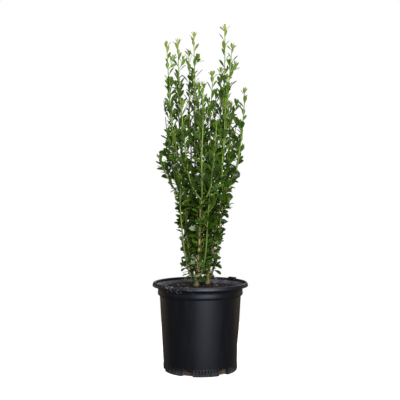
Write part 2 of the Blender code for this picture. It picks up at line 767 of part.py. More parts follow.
def sideways(along: Vector, azimuth: float) -> Vector:
    """Returns the direction square to a line that points towards an azimuth."""
    flat = Vector((math.cos(azimuth), math.sin(azimuth), 0.0))
    return (flat - along * flat.dot(along)).normalized()


def place_leaf(
    axis: Axis, distance: float, azimuth: float, length: float, opening: float, twist: float
) -> Leaf:
    """Places a leaf on a twig or a shoot.

    Args:
        axis: The centre line that carries it.
        distance: How far along the line it grows.
        azimuth: The way that it points, seen from above.
        length: Its length.
        opening: The angle between it and the line.
        twist: How far it is rolled about its own length.

    Returns:
        The leaf, rooted just past the middle of what carries it.
    """
    place, along, radius = point_along(axis, distance)
    outwards = sideways(along, azimuth)
    direction = along * math.cos(opening) + outwards * math.sin(opening)
    up = along * math.sin(opening) - outwards * math.cos(opening)
    up = Matrix.Rotation(twist, 3, direction) @ up
    return Leaf(place - direction * radius * ROOT_DEPTH, direction, up, length)


def point_along(axis: Axis, distance: float) -> tuple[Vector, Vector, float]:
    """Returns the point a distance along a centre line, with its direction and radius."""
    for index, (low, high) in enumerate(zip(axis.points, axis.points[1:])):
        step = (high - low).length
        if distance <= step:
            part = distance / step
            radius = axis.radii[index] * (1.0 - part) + axis.radii[index + 1] * part
            return low.lerp(high, part), (high - low).normalized(), radius
        distance -= step
    low, high = axis.points[-2:]
    return high.copy(), (high - low).normalized(), axis.radii[-1]


def axis_length(axis: Axis) -> float:
    """Returns the length of a centre line."""
    return sum((high - low).length for low, high in zip(axis.points, axis.points[1:]))


def twig_axis(parent: Axis, distance: float, azimuth: float, length: float) -> Axis:
    """Works out a side twig that leaves its shoot and turns up beside it."""
    start, along, _ = point_along(parent, distance)
    outwards = sideways(along, azimuth)
    points, radii = [], []
    for step in range(TWIG_STEPS + 1):
        part = step / TWIG_STEPS
        out = length * TWIG_SPREAD * (1.0 - (1.0 - part) ** 2)
        points.append(start + along * length * TWIG_RISE * part + outwards * out)
        radii.append(TWIG_RADIUS + (TWIG_TIP_RADIUS - TWIG_RADIUS) * part)
    return Axis(points, radii)


def by_height(height: float, low: float, high: float) -> float:
    """Returns a value that changes evenly from the foot of the crown to its top."""
    part = (height - CROWN_BASE) / (CROWN_TOP - CROWN_BASE)
    return low + (high - low) * min(max(part, 0.0), 1.0)


def leaves_on(
    name: str,
    axis: Axis,
    bare: float,
    tuft: int,
    spaces: Spaces,
    kept: list[Leaf],
    dice: random.Random,
) -> None:
    """Sets leaves in a spiral up a twig or shoot, and a tuft of small ones at its tip.

    Args:
        name: The shoot that the leaves belong to.
        axis: The centre line that carries them.
        bare: Length without leaves at its foot.
        tuft: Number of small leaves at its tip.
        spaces: The crown's spaces; a leaf that would leave its own is skipped.
        kept: The mass's leaves so far, which new ones are added to.
        dice: The seeded dice.
    """
    total = axis_length(axis)
    azimuth = dice.uniform(0.0, 2.0 * math.pi)
    distance = bare
    while distance < total - LEAF_LAST:
        place, _, _ = point_along(axis, distance)
        near_tip = min((total - distance) / TIP_REACH, 1.0)
        length = by_height(place.z, LOW_LEAF, HIGH_LEAF) * (0.65 + 0.35 * near_tip)
        length *= dice.uniform(0.88, 1.12)
        opening = by_height(place.z, *LEAF_OPENINGS) * (0.55 + 0.45 * near_tip)
        opening = math.radians(opening + dice.uniform(-9.0, 9.0))
        roll = dice.uniform(-LEAF_ROLL, LEAF_ROLL)
        leaves = (
            place_leaf(axis, distance, azimuth, length * share, opening, roll)
            for share in LEAF_SHARES
        )
        azimuth += GOLDEN_ANGLE + dice.uniform(-0.2, 0.2)
        if any(try_leaf(name, leaf, spaces, kept, LEAF_APART) for leaf in leaves):
            distance += LEAF_SPACING * dice.uniform(0.85, 1.15) * (0.7 + 0.3 * near_tip)
        else:
            distance += LEAF_RETRY
    for turn in range(tuft):
        length = TIP_LEAF * dice.uniform(0.9, 1.1)
        opening = math.radians(dice.uniform(*TIP_OPENINGS))
        place = total - TUFT_FIRST - turn * TUFT_GAP
        leaf = place_leaf(axis, place, azimuth + turn * math.pi, length, opening, 0.0)
        try_leaf(name, leaf, spaces, kept, TUFT_APART)


def leaf_middle(leaf: Leaf) -> Vector:
    """Returns the middle of a leaf."""
    return leaf.root + leaf.along * leaf.length * LEAF_MIDDLE


def try_leaf(name: str, leaf: Leaf, spaces: Spaces, kept: list[Leaf], apart: float) -> bool:
    """Keeps a leaf if it stays in its space and off the mass's other leaves."""
    middle = leaf_middle(leaf)
    if any((leaf_middle(other) - middle).length < apart for other in kept):
        return False
    if not spaces.holds(name, leaf_outline(leaf)):
        return False
    kept.append(leaf)
    return True


def grow_shoot(limb: Limb, axis: Axis, spaces: Spaces) -> tuple[list[Axis], list[Leaf]]:
    """Grows a shoot's side twigs and leaves by a seeded rule.

    Args:
        limb: The shoot.
        axis: Its centre line.
        spaces: The crown's spaces.

    Returns:
        The side twigs' centre lines and the leaves.
    """
    dice = random.Random(f"{SEED} {limb.name}")
    total = axis_length(axis)
    twigs: list[Axis] = []
    leaves: list[Leaf] = []
    azimuth = dice.uniform(0.0, 2.0 * math.pi)
    distance = SHOOT_BARE + TWIG_FIRST
    while distance < total - TWIG_LAST:
        twig = twig_axis(axis, distance, azimuth, dice.uniform(*TWIG_LENGTHS))
        if spaces.holds(limb.name, twig_outline(twig)):
            twigs.append(twig)
            distance += dice.uniform(*TWIG_GAPS)
        distance += TWIG_RETRY
        azimuth += GOLDEN_ANGLE
    leaves_on(limb.name, axis, SHOOT_BARE, SHOOT_TUFT, spaces, leaves, dice)
    for twig in twigs:
        leaves_on(limb.name, twig, TWIG_BARE, TWIG_TUFT, spaces, leaves, dice)
    return twigs, leaves


def make_shoot(
    limb: Limb,
    axis: Axis,
    parent: Axis,
    parent_sides: int,
    spaces: Spaces,
    material: bpy.types.Material,
) -> None:
    """Makes one mass of foliage: a shoot with its twigs and leaves fused on.

    Its foot is cut clear of the limb that carries it.

    Args:
        limb: The shoot.
        axis: Its centre line.
        parent: The centre line of the limb that carries it.
        parent_sides: That limb's number of sides.
        spaces: The crown's spaces.
        material: The leaves' material.
    """
    twigs, leaves = grow_shoot(limb, axis, spaces)
    mass = add_object(limb.name, tube(limb.name, axis, TWIG_SIDES), material)
    pieces = [add_object("twig", tube("twig", twig, TWIG_SIDES)) for twig in twigs]
    pieces += [add_object("leaf", leaf_mesh(leaf)) for leaf in leaves]
    combine(mass, pieces, "UNION")
    cutter = add_object("cutter", tube("cutter", parent, parent_sides, extra=CLEARANCE))
    combine(mass, [cutter], "DIFFERENCE")
    keep_largest_body(mass)


def main() -> None:
    """Builds the whole plant in its pot."""
    clear_scene()
    plastic = make_material("black_plastic", (0.013, 0.013, 0.015), 0.42)
    soil = make_material("potting_mix", (0.016, 0.010, 0.007), 0.95)
    bark = make_material("bark", (0.27, 0.20, 0.12), 0.75)
    foliage = make_material("leaves", (0.06, 0.14, 0.035), 0.45)

    make_pot(plastic)
    make_mix(soil)
    wood: dict[str, Axis] = {}
    for stem in STEMS:
        wood[stem.name] = make_stem(stem, bark)
    for limb in BOUGHS:
        wood[limb.name] = limb_axis(limb, wood[limb.parent], BOUGH_STEPS)
    for limb in BOUGHS:
        make_bough(limb, wood[limb.name], wood[limb.parent], bark)

    shoots = {
        limb.name: limb_axis(limb, wood[limb.parent], SHOOT_STEPS, short=TUFT_RISE)
        for limb in SHOOTS
    }
    spaces = Spaces(wood, shoots)
    for limb in SHOOTS:
        sides = STEM_SIDES if limb.parent.startswith("stem") else BOUGH_SIDES
        make_shoot(limb, shoots[limb.name], wood[limb.parent], sides, spaces, foliage)


if __name__ == "__main__":
    main()
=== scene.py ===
"""A potted Japanese holly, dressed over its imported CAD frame.

Lengths are in metres in the frame's own axes: +Z is up, -Y is the front and +X is to the
right, with the origin on the ground under the middle of the pot.

The pot, the potting mix and the woody limbs are replaced by finer meshes of the same sizes.
Each mass of foliage is grown again from its limb by the same rule, with life-size leaves,
more of them, and finer twigs, and it keeps to the same reach.
"""

from __future__ import annotations

import json
import logging
import math
import random
from collections.abc import Callable, Sequence
from dataclasses import dataclass, field, replace
from enum import Enum

import bpy
import numpy as np
from mathutils import Matrix, Vector, noise

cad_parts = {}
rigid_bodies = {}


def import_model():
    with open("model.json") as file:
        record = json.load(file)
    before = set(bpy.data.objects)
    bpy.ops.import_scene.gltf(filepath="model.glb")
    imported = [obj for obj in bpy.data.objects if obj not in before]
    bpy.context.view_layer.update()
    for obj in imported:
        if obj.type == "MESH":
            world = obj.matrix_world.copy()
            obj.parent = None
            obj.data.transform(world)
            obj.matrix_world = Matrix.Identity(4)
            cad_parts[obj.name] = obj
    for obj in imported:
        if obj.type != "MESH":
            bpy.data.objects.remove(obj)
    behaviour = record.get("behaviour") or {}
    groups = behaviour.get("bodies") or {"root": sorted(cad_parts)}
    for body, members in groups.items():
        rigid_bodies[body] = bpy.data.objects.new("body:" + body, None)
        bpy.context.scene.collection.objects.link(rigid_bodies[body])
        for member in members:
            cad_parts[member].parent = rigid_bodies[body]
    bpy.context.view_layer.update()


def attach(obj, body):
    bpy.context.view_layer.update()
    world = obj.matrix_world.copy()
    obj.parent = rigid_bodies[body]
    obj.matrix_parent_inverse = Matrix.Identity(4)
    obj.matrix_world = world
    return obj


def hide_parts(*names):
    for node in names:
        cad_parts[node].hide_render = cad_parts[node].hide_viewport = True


LOG = logging.getLogger("holly")
MM = 0.001
SEED = 41
BODY = "root"
GOLDEN = math.radians(137.5)  # the turn from one leaf to the next


# --- shared tools ---


def srgb(code: str) -> tuple[float, float, float, float]:
    """Turns an sRGB hex value into a linear colour with full alpha.

    Args:
        code: The value, such as "#4A4136".

    Returns:
        The colour as red, green, blue and alpha.
    """
    parts = [int(code[i : i + 2], 16) / 255.0 for i in (1, 3, 5)]
    linear = [p / 12.92 if p <= 0.04045 else ((p + 0.055) / 1.055) ** 2.4 for p in parts]
    return (linear[0], linear[1], linear[2], 1.0)


def per_metre(size: float) -> float:
    """Returns a noise or voronoi scale whose features are about a size in millimetres."""
    return 1.0 / (size * MM)


def add_node(
    tree: bpy.types.NodeTree,
    kind: str,
    links: dict[str | int, bpy.types.NodeSocket] | None = None,
    values: dict[str | int, object] | None = None,
    stops: Sequence[tuple[float, str]] = (),
    **settings: object,
) -> bpy.types.Node:
    """Adds a node with its settings and links.

    Args:
        tree: The material's or world's node tree.
        kind: The node's type name.
        links: Sockets that feed its inputs.
        values: Plain values of its inputs.
        stops: Positions and sRGB hex colours of a colour ramp.
        **settings: The node's own properties.

    Returns:
        The node.
    """
    node = tree.nodes.new(kind)
    for name, value in settings.items():
        setattr(node, name, value)
    for key, value in (values or {}).items():
        node.inputs[key].default_value = value
    for key, source in (links or {}).items():
        tree.links.new(source, node.inputs[key])
    for index, (place, colour) in enumerate(stops):
        ramp = node.color_ramp.elements
        element = ramp[index] if index < 2 else ramp.new(place)
        element.position = place
        element.color = srgb(colour)
    return node


def new_material(name: str) -> tuple[bpy.types.Material, bpy.types.NodeTree, bpy.types.Node]:
    """Makes a material and returns it with its tree and its shader.

    Args:
        name: The material's name.

    Returns:
        The material, its node tree and its shader node.
    """
    material = bpy.data.materials.new(name)
    material.use_nodes = True
    tree = material.node_tree
    return material, tree, tree.nodes["Principled BSDF"]


def deselect_all() -> None:
    """Leaves edit mode and deselects every object."""
    if bpy.context.object is not None and bpy.context.object.mode != "OBJECT":
        bpy.ops.object.mode_set(mode="OBJECT")
    bpy.ops.object.select_all(action="DESELECT")


def work_on(thing: bpy.types.Object) -> None:
    """Makes an object the only selected one and the active one.

    Args:
        thing: The object.
    """
    deselect_all()
    thing.select_set(True)
    bpy.context.view_layer.objects.active = thing


def spin_profile(
    name: str, profile: Sequence[tuple[float, float]], steps: int
) -> bpy.types.Object:
    """Spins a profile into a closed body.

    Args:
        name: The object's name.
        profile: Points (radius, height) that start and end on the axis.
        steps: Number of steps round the axis.

    Returns:
        The body, with its faces pointing outwards.
    """
    deselect_all()
    bpy.ops.mesh.primitive_plane_add(size=1.0 * MM)
    thing = bpy.context.object
    thing.name = thing.data.name = name
    bpy.ops.object.mode_set(mode="EDIT")
    bpy.ops.mesh.select_all(action="SELECT")
    bpy.ops.mesh.merge(type="CENTER")
    bpy.ops.transform.translate(value=(profile[0][0], 0.0, profile[0][1]))
    for (radius, height), (next_radius, next_height) in zip(profile, profile[1:]):
        step = (next_radius - radius, 0.0, next_height - height)
        bpy.ops.mesh.extrude_vertices_move(TRANSFORM_OT_translate={"value": step})
    bpy.ops.mesh.select_all(action="SELECT")
    bpy.ops.mesh.spin(steps=steps, angle=2.0 * math.pi, center=(0, 0, 0), axis=(0, 0, 1))
    bpy.ops.mesh.select_all(action="SELECT")
    bpy.ops.mesh.remove_doubles(threshold=0.01 * MM)
    bpy.ops.mesh.normals_make_consistent(inside=False)
    bpy.ops.object.mode_set(mode="OBJECT")
    return thing


def rounded_box(
    name: str, low: Sequence[float], high: Sequence[float], turn: float, rounding: float
) -> bpy.types.Object:
    """Models a box with rounded edges, turned about the Z axis.

    Args:
        name: The object's name.
        low: Its lowest corner before it is turned.
        high: Its highest corner.
        turn: The angle that it is turned by.
        rounding: Radius of its edges.

    Returns:
        The box, with its place in its mesh.
    """
    deselect_all()
    middle = (Vector(low) + Vector(high)) / 2.0
    bpy.ops.mesh.primitive_cube_add(size=1.0, location=middle, scale=Vector(high) - Vector(low))
    thing = bpy.context.object
    thing.name = thing.data.name = name
    bpy.ops.object.transform_apply(location=True, rotation=True, scale=True)
    bpy.ops.object.mode_set(mode="EDIT")
    bpy.ops.mesh.select_all(action="SELECT")
    bpy.ops.mesh.bevel(offset=rounding, segments=3, affect="EDGES")
    bpy.ops.object.mode_set(mode="OBJECT")
    thing.data.transform(Matrix.Rotation(turn, 4, "Z"))
    return thing


def combine(thing: bpy.types.Object, others: Sequence[bpy.types.Object], operation: str) -> None:
    """Joins closed bodies to an object or cuts them from it, and removes them.

    Args:
        thing: The object that is changed.
        others: The bodies.
        operation: "UNION" or "DIFFERENCE".
    """
    group = bpy.data.collections.new("bodies")
    bpy.context.scene.collection.children.link(group)
    for other in others:
        for owner in list(other.users_collection):
            owner.objects.unlink(other)
        group.objects.link(other)
    work_on(thing)
    boolean = thing.modifiers.new("bodies", "BOOLEAN")
    boolean.operation = operation
    boolean.solver = "MANIFOLD"
    boolean.operand_type = "COLLECTION"
    boolean.collection = group
    bpy.ops.object.modifier_apply(modifier=boolean.name)
    for other in others:
        bpy.data.meshes.remove(other.data)
    bpy.data.collections.remove(group)


def move_vertices(thing: bpy.types.Object, mover: Callable[[np.ndarray], np.ndarray]) -> None:
    """Moves all vertices of an object by a rule that takes and gives their places.

    Args:
        thing: The object.
        mover: The rule, for an array with one place a row.
    """
    places = np.zeros(len(thing.data.vertices) * 3)
    thing.data.vertices.foreach_get("co", places)
    thing.data.vertices.foreach_set("co", mover(places.reshape(-1, 3)).ravel())
    thing.data.update()


def smooth_by_angle(thing: bpy.types.Object, degrees: float) -> None:
    """Shades an object smooth, with edges sharper than an angle left sharp."""
    work_on(thing)
    bpy.ops.object.shade_smooth_by_angle(angle=math.radians(degrees))


class Gathered:
    """Vertices and faces of many small shapes, gathered into one mesh."""

    def __init__(self) -> None:
        """Starts with nothing in it."""
        self.vertices: list[np.ndarray] = []
        self.faces: list[tuple[int, ...]] = []
        self.slots: list[int] = []
        self.count = 0

    def add(
        self,
        vertices: np.ndarray,
        faces: Sequence[tuple[int, ...]],
        slots: Sequence[int] | None = None,
    ) -> None:
        """Adds one shape.

        Args:
            vertices: Its vertices, one a row.
            faces: Its faces, counted from its own first vertex.
            slots: The material slot of each face, or None for the first slot.
        """
        self.faces += [tuple(corner + self.count for corner in face) for face in faces]
        self.slots += slots if slots is not None else [0] * len(faces)
        self.vertices.append(vertices)
        self.count += len(vertices)

    def make(
        self, name: str, materials: Sequence[bpy.types.Material], degrees: float
    ) -> bpy.types.Object:
        """Makes the object.

        Args:
            name: Its name.
            materials: Its materials, in the order of the slots.
            degrees: The angle past which an edge stays sharp.

        Returns:
            The object at the origin.
        """
        mesh = bpy.data.meshes.new(name)
        mesh.from_pydata(np.concatenate(self.vertices).tolist(), [], self.faces)
        for material in materials:
            mesh.materials.append(material)
        mesh.polygons.foreach_set("material_index", self.slots)
        mesh.update()
        thing = bpy.data.objects.new(name, mesh)
        bpy.context.scene.collection.objects.link(thing)
        smooth_by_angle(thing, degrees)
        return thing


def dress(thing: bpy.types.Object, nodes: Sequence[str]) -> None:
    """Gives a finished piece its body, and hides the CAD nodes that it stands for.

    Args:
        thing: The piece, with its materials.
        nodes: The CAD nodes that it replaces.
    """
    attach(thing, BODY)
    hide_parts(*nodes)
    LOG.info("%s: %d faces", thing.name, len(thing.data.polygons))


# --- finishes ---


@dataclass(frozen=True)
class MouldedPolyethylene:
    """Blow-moulded black polyethylene: a satin skin that the mould left a little uneven.

    Attributes:
        name: The material's name.
        dark: Colour of the clean wall.
        light: Colour of the worn wall.
        dust: Colour of dried mix and dust on it.
        scuff: Colour of the scratches under the lip.
        floor_reflection: Colour of the painted reflection of the pale floor on the skirt, in
            patches.
        gleam: Tint of what it mirrors.
        flow: Width of the flow marks down the wall, in millimetres.
        speck: Size of the specks of dust, in millimetres.
        nick: Distance between two scratches, in millimetres.
        peel: Size of the skin's fine unevenness, in millimetres.
        dusty: Height up to which dust lies thicker.
        floor_reflection_fade: Heights between which the painted floor reflection fades in
            downwards.
        worn_spot: The middle of the scratched place.
        worn_reach: Distances from it between which the scratches fade in.
        worn_above: Heights between which they start.
        shiny_above: Heights between which the lip turns shinier.
    """

    name: str = "polyethylene_moulded_black"
    dark: str = "#08080A"
    light: str = "#121216"
    dust: str = "#4A4136"
    scuff: str = "#B4AFA6"
    floor_reflection: str = "#6C6D74"
    gleam: str = "#D6DEF2"
    flow: float = 14.0
    speck: float = 3.0
    nick: float = 6.0
    peel: float = 1.6
    dusty: float = 30.0 * MM
    floor_reflection_fade: tuple[float, float] = (17.0 * MM, 3.0 * MM)
    worn_spot: tuple[float, float, float] = (-58.0 * MM, -88.0 * MM, 203.0 * MM)
    worn_reach: tuple[float, float] = (52.0 * MM, 24.0 * MM)
    worn_above: tuple[float, float] = (198.0 * MM, 202.0 * MM)
    shiny_above: tuple[float, float] = (206.0 * MM, 208.0 * MM)

    def make(self) -> bpy.types.Material:
        """Makes the material: flow marks, dust round the foot, a painted reflection of the floor on
        the skirt and scuffs under the lip.

        Returns:
            The material.
        """
        material, tree, shader = new_material(self.name)
        place = add_node(tree, "ShaderNodeTexCoord").outputs["Object"]
        drawn = add_node(
            tree, "ShaderNodeMapping", {"Vector": place}, {"Scale": (1.0, 1.0, 0.12)}
        ).outputs[0]
        flow = add_node(
            tree, "ShaderNodeTexNoise", {"Vector": drawn},
            {"Scale": per_metre(self.flow), "Detail": 3.0, "Roughness": 0.55},
        ).outputs["Fac"]
        wall = add_node(
            tree, "ShaderNodeValToRGB", {"Fac": flow},
            stops=((0.32, self.dark), (0.72, self.light)),
        ).outputs["Color"]
        height = add_node(tree, "ShaderNodeSeparateXYZ", {"Vector": place}).outputs["Z"]
        specks = add_node(
            tree, "ShaderNodeTexNoise", {"Vector": place},
            {"Scale": per_metre(self.speck), "Detail": 4.0, "Roughness": 0.7},
        ).outputs["Fac"]
        low = add_node(
            tree, "ShaderNodeMapRange", {"Value": height},
            {"From Max": self.dusty, "To Min": 0.55, "To Max": 0.04},
        ).outputs[0]
        grime = add_node(
            tree, "ShaderNodeMapRange", {"Value": specks},
            {"From Min": 0.5, "From Max": 0.78},
        ).outputs[0]
        dusted = add_node(
            tree, "ShaderNodeMath", {0: low, 1: grime}, operation="MULTIPLY"
        ).outputs[0]
        powder = add_node(
            tree, "ShaderNodeMix", {"Factor": dusted, "A": wall}, {"B": srgb(self.dust)},
            data_type="RGBA",
        )
        # A painted reflection of the pale floor: paler bluish grey towards the ground, in patches.
        upper, lower = self.floor_reflection_fade
        reflected = add_node(
            tree, "ShaderNodeMapRange", {"Value": height},
            {"From Min": upper, "From Max": lower, "To Max": 0.75},
        ).outputs[0]
        patches = add_node(
            tree, "ShaderNodeMapRange", {"Value": specks},
            {"From Min": 0.42, "From Max": 0.62, "To Min": 0.1},
        ).outputs[0]
        paled = add_node(
            tree, "ShaderNodeMath", {0: reflected, 1: patches}, operation="MULTIPLY"
        ).outputs[0]
        foot = add_node(
            tree, "ShaderNodeMix", {"Factor": paled, "A": powder.outputs["Result"]},
            {"B": srgb(self.floor_reflection)}, data_type="RGBA",
        )
        scratches = add_node(
            tree, "ShaderNodeTexVoronoi", {"Vector": place}, {"Scale": per_metre(self.nick)}
        ).outputs["Distance"]
        nicks = add_node(
            tree, "ShaderNodeMapRange", {"Value": scratches},
            {"From Min": 0.30, "From Max": 0.14},
        ).outputs[0]
        lower, upper = self.worn_above
        band = add_node(
            tree, "ShaderNodeMapRange", {"Value": height},
            {"From Min": lower, "From Max": upper, "To Max": 0.9},
        ).outputs[0]
        away = add_node(
            tree, "ShaderNodeVectorMath", {0: place}, {1: self.worn_spot}, operation="DISTANCE"
        ).outputs["Value"]
        far, near = self.worn_reach
        where = add_node(
            tree, "ShaderNodeMapRange", {"Value": away},
            {"From Min": far, "From Max": near},
        ).outputs[0]
        worn = add_node(
            tree, "ShaderNodeMath", {0: nicks, 1: band}, operation="MULTIPLY"
        ).outputs[0]
        scuffed = add_node(
            tree, "ShaderNodeMath", {0: worn, 1: where}, operation="MULTIPLY"
        ).outputs[0]
        colour = add_node(
            tree, "ShaderNodeMix", {"Factor": scuffed, "A": foot.outputs["Result"]},
            {"B": srgb(self.scuff)}, data_type="RGBA",
        )
        tree.links.new(colour.outputs["Result"], shader.inputs["Base Color"])
        gloss = add_node(
            tree, "ShaderNodeMapRange", {"Value": flow},
            {"From Min": 0.3, "From Max": 0.7, "To Min": 0.42, "To Max": 0.52},
        ).outputs[0]
        tree.links.new(gloss, shader.inputs["Roughness"])
        peel = add_node(
            tree, "ShaderNodeTexNoise", {"Vector": place},
            {"Scale": per_metre(self.peel), "Detail": 2.0},
        ).outputs["Fac"]
        bump = add_node(
            tree, "ShaderNodeBump", {"Height": peel}, {"Strength": 0.10, "Distance": 0.15 * MM}
        )
        tree.links.new(bump.outputs[0], shader.inputs["Normal"])
        shader.inputs["IOR"].default_value = 1.5
        lower, upper = self.shiny_above
        shine = add_node(
            tree, "ShaderNodeMapRange", {"Value": height},
            {"From Min": lower, "From Max": upper, "To Min": 0.5, "To Max": 0.85},
        ).outputs[0]
        tree.links.new(shine, shader.inputs["Specular IOR Level"])
        shader.inputs["Specular Tint"].default_value = srgb(self.gleam)
        return material


@dataclass(frozen=True)
class CompostedBark:
    """Composted pine bark, damp and crumbled: near black with a few lighter crumbs.

    Attributes:
        name: The material's name.
        hollow_colour: Colour of the hollows.
        crumb_colour: Colour of the crumbs that stand out.
        crumb: Size of a crumb, in millimetres.
        patch: Size of a patch of lighter crumbs, in millimetres.
    """

    name: str = "pine_bark_composted"
    hollow_colour: str = "#0A0807"
    crumb_colour: str = "#1F1812"
    crumb: float = 2.6
    patch: float = 9.0

    def make(self) -> bpy.types.Material:
        """Makes the material from two sizes of crumbs, in colour and in relief.

        Returns:
            The material.
        """
        material, tree, shader = new_material(self.name)
        place = add_node(tree, "ShaderNodeTexCoord").outputs["Object"]
        crumbs = add_node(
            tree, "ShaderNodeTexVoronoi", {"Vector": place}, {"Scale": per_metre(self.crumb)}
        )
        patches = add_node(
            tree, "ShaderNodeTexNoise", {"Vector": place},
            {"Scale": per_metre(self.patch), "Detail": 4.0, "Roughness": 0.65},
        ).outputs["Fac"]
        tone = add_node(
            tree, "ShaderNodeMath", {0: crumbs.outputs["Distance"], 1: patches},
            operation="MULTIPLY",
        ).outputs[0]
        # The colour follows the relief: darker in its hollows, lighter on the crumbs that stand
        # out.
        colour = add_node(
            tree, "ShaderNodeValToRGB", {"Fac": tone}, stops=((0.12, self.hollow_colour), (0.42, self.crumb_colour))
        ).outputs["Color"]
        tree.links.new(colour, shader.inputs["Base Color"])
        bump = add_node(
            tree, "ShaderNodeBump", {"Height": tone}, {"Strength": 0.9, "Distance": 1.5 * MM}
        )
        tree.links.new(bump.outputs[0], shader.inputs["Normal"])
        shader.inputs["Roughness"].default_value = 0.92
        return material


@dataclass(frozen=True)
class SplitBark:
    """A chip of split bark: a matt fibrous face with darker grooves along it.

    Attributes:
        name: The material's name.
        groove: Colour of the grooves.
        face: Colour of the fibres.
        fibre: Width of a bundle of fibres, in millimetres.
    """

    name: str
    groove: str
    face: str
    fibre: float = 2.2

    def make(self) -> bpy.types.Material:
        """Makes the material from short fibres.

        Returns:
            The material.
        """
        material, tree, shader = new_material(self.name)
        place = add_node(tree, "ShaderNodeTexCoord").outputs["Object"]
        fibres = add_node(
            tree, "ShaderNodeTexNoise", {"Vector": place},
            {"Scale": per_metre(self.fibre), "Detail": 5.0, "Roughness": 0.7},
        ).outputs["Fac"]
        colour = add_node(
            tree, "ShaderNodeValToRGB", {"Fac": fibres},
            stops=((0.36, self.groove), (0.66, self.face)),
        ).outputs["Color"]
        tree.links.new(colour, shader.inputs["Base Color"])
        bump = add_node(
            tree, "ShaderNodeBump", {"Height": fibres}, {"Strength": 0.6, "Distance": 0.5 * MM}
        )
        tree.links.new(bump.outputs[0], shader.inputs["Normal"])
        shader.inputs["Roughness"].default_value = 0.88
        return material


@dataclass(frozen=True)
class Rind:
    """Living bark or green rind whose colour changes with its height on the plant.

    Attributes:
        name: The material's name.
        heights: Heights and colours of the clean rind, in millimetres and sRGB hex.
        shade: Colour of the streaks and scars on it.
        streaks: How much of the shade shows.
        streak: Width of a streak, in millimetres.
        roughness: Of the rind.
        relief: Depth of its bump, in millimetres.
    """

    name: str
    heights: tuple[tuple[float, str], ...]
    shade: str
    streaks: float
    streak: float
    roughness: float
    relief: float

    def make(self) -> bpy.types.Material:
        """Makes the material: a slow change with height and streaks along the limb.

        Returns:
            The material.
        """
        material, tree, shader = new_material(self.name)
        place = add_node(tree, "ShaderNodeTexCoord").outputs["Object"]
        height = add_node(tree, "ShaderNodeSeparateXYZ", {"Vector": place}).outputs["Z"]
        low, high = self.heights[0][0], self.heights[-1][0]
        part = add_node(
            tree, "ShaderNodeMapRange", {"Value": height},
            {"From Min": low * MM, "From Max": high * MM},
        ).outputs[0]
        stops = tuple(((at - low) / (high - low), colour) for at, colour in self.heights)
        clean = add_node(tree, "ShaderNodeValToRGB", {"Fac": part}, stops=stops).outputs["Color"]
        drawn = add_node(
            tree, "ShaderNodeMapping", {"Vector": place}, {"Scale": (1.0, 1.0, 0.22)}
        ).outputs[0]
        lines = add_node(
            tree, "ShaderNodeTexNoise", {"Vector": drawn},
            {"Scale": per_metre(self.streak), "Detail": 4.0, "Roughness": 0.65},
        ).outputs["Fac"]
        shaded = add_node(
            tree, "ShaderNodeMapRange", {"Value": lines},
            {"From Min": 0.46, "From Max": 0.68, "To Max": self.streaks},
        ).outputs[0]
        colour = add_node(
            tree, "ShaderNodeMix", {"Factor": shaded, "A": clean}, {"B": srgb(self.shade)},
            data_type="RGBA",
        )
        tree.links.new(colour.outputs["Result"], shader.inputs["Base Color"])
        bump = add_node(
            tree, "ShaderNodeBump", {"Height": lines},
            {"Strength": 0.5, "Distance": self.relief * MM},
        )
        tree.links.new(bump.outputs[0], shader.inputs["Normal"])
        shader.inputs["Roughness"].default_value = self.roughness
        return material


@dataclass(frozen=True)
class LeafSkin:
    """The waxed upper side or the dull underside of a leaf of one age.

    Attributes:
        name: The material's name.
        colour: Its colour.
        roughness: Low on the waxed side, high on the dull one.
        wax: Weight of the thin glossy wax over the upper side.
        gleam: Tint of what it mirrors.
        pore: Size of its fine unevenness, in millimetres, drawn coarse enough to show.
    """

    name: str
    colour: str
    roughness: float
    wax: float
    gleam: str = "#F2F6CE"
    pore: float = 3.5

    def make(self) -> bpy.types.Material:
        """Makes the material: one plain colour of its age with a fine uneven skin.

        Returns:
            The material.
        """
        material, tree, shader = new_material(self.name)
        shader.inputs["Base Color"].default_value = srgb(self.colour)
        shader.inputs["Roughness"].default_value = self.roughness
        shader.inputs["IOR"].default_value = 1.45
        shader.inputs["Specular Tint"].default_value = srgb(self.gleam)
        shader.inputs["Coat Weight"].default_value = self.wax
        shader.inputs["Coat Roughness"].default_value = 0.16
        place = add_node(tree, "ShaderNodeTexCoord").outputs["Object"]
        skin = add_node(
            tree, "ShaderNodeTexNoise", {"Vector": place},
            {"Scale": per_metre(self.pore), "Detail": 2.0},
        ).outputs["Fac"]
        bump = add_node(
            tree, "ShaderNodeBump", {"Height": skin}, {"Strength": 0.25, "Distance": 0.5 * MM}
        )
        tree.links.new(bump.outputs[0], shader.inputs["Normal"])
        return material


class Age(Enum):
    """A leaf's age: the colours of its sides, the upper one's roughness and wax."""

    TIP = ("tip", "#A4AE2A", "#B2BC4A", 0.48, 0.04)
    YOUNG = ("young", "#7E9826", "#98AC44", 0.46, 0.05)
    FRESH = ("fresh", "#587E1A", "#82A03A", 0.42, 0.08)
    MATURE = ("mature", "#3B5F10", "#688A30", 0.36, 0.20)
    DEEP = ("deep", "#293F12", "#4E7028", 0.30, 0.55)

    def finishes(self) -> tuple[LeafSkin, LeafSkin]:
        """Returns the finishes of the upper side and the underside.

        Returns:
            The two finishes.
        """
        word, upper, under, roughness, wax = self.value
        return (
            LeafSkin(f"leaf_waxed_{word}", upper, roughness, wax),
            LeafSkin(f"leaf_underside_{word}", under, 0.62, 0.0),
        )


# --- pot ---


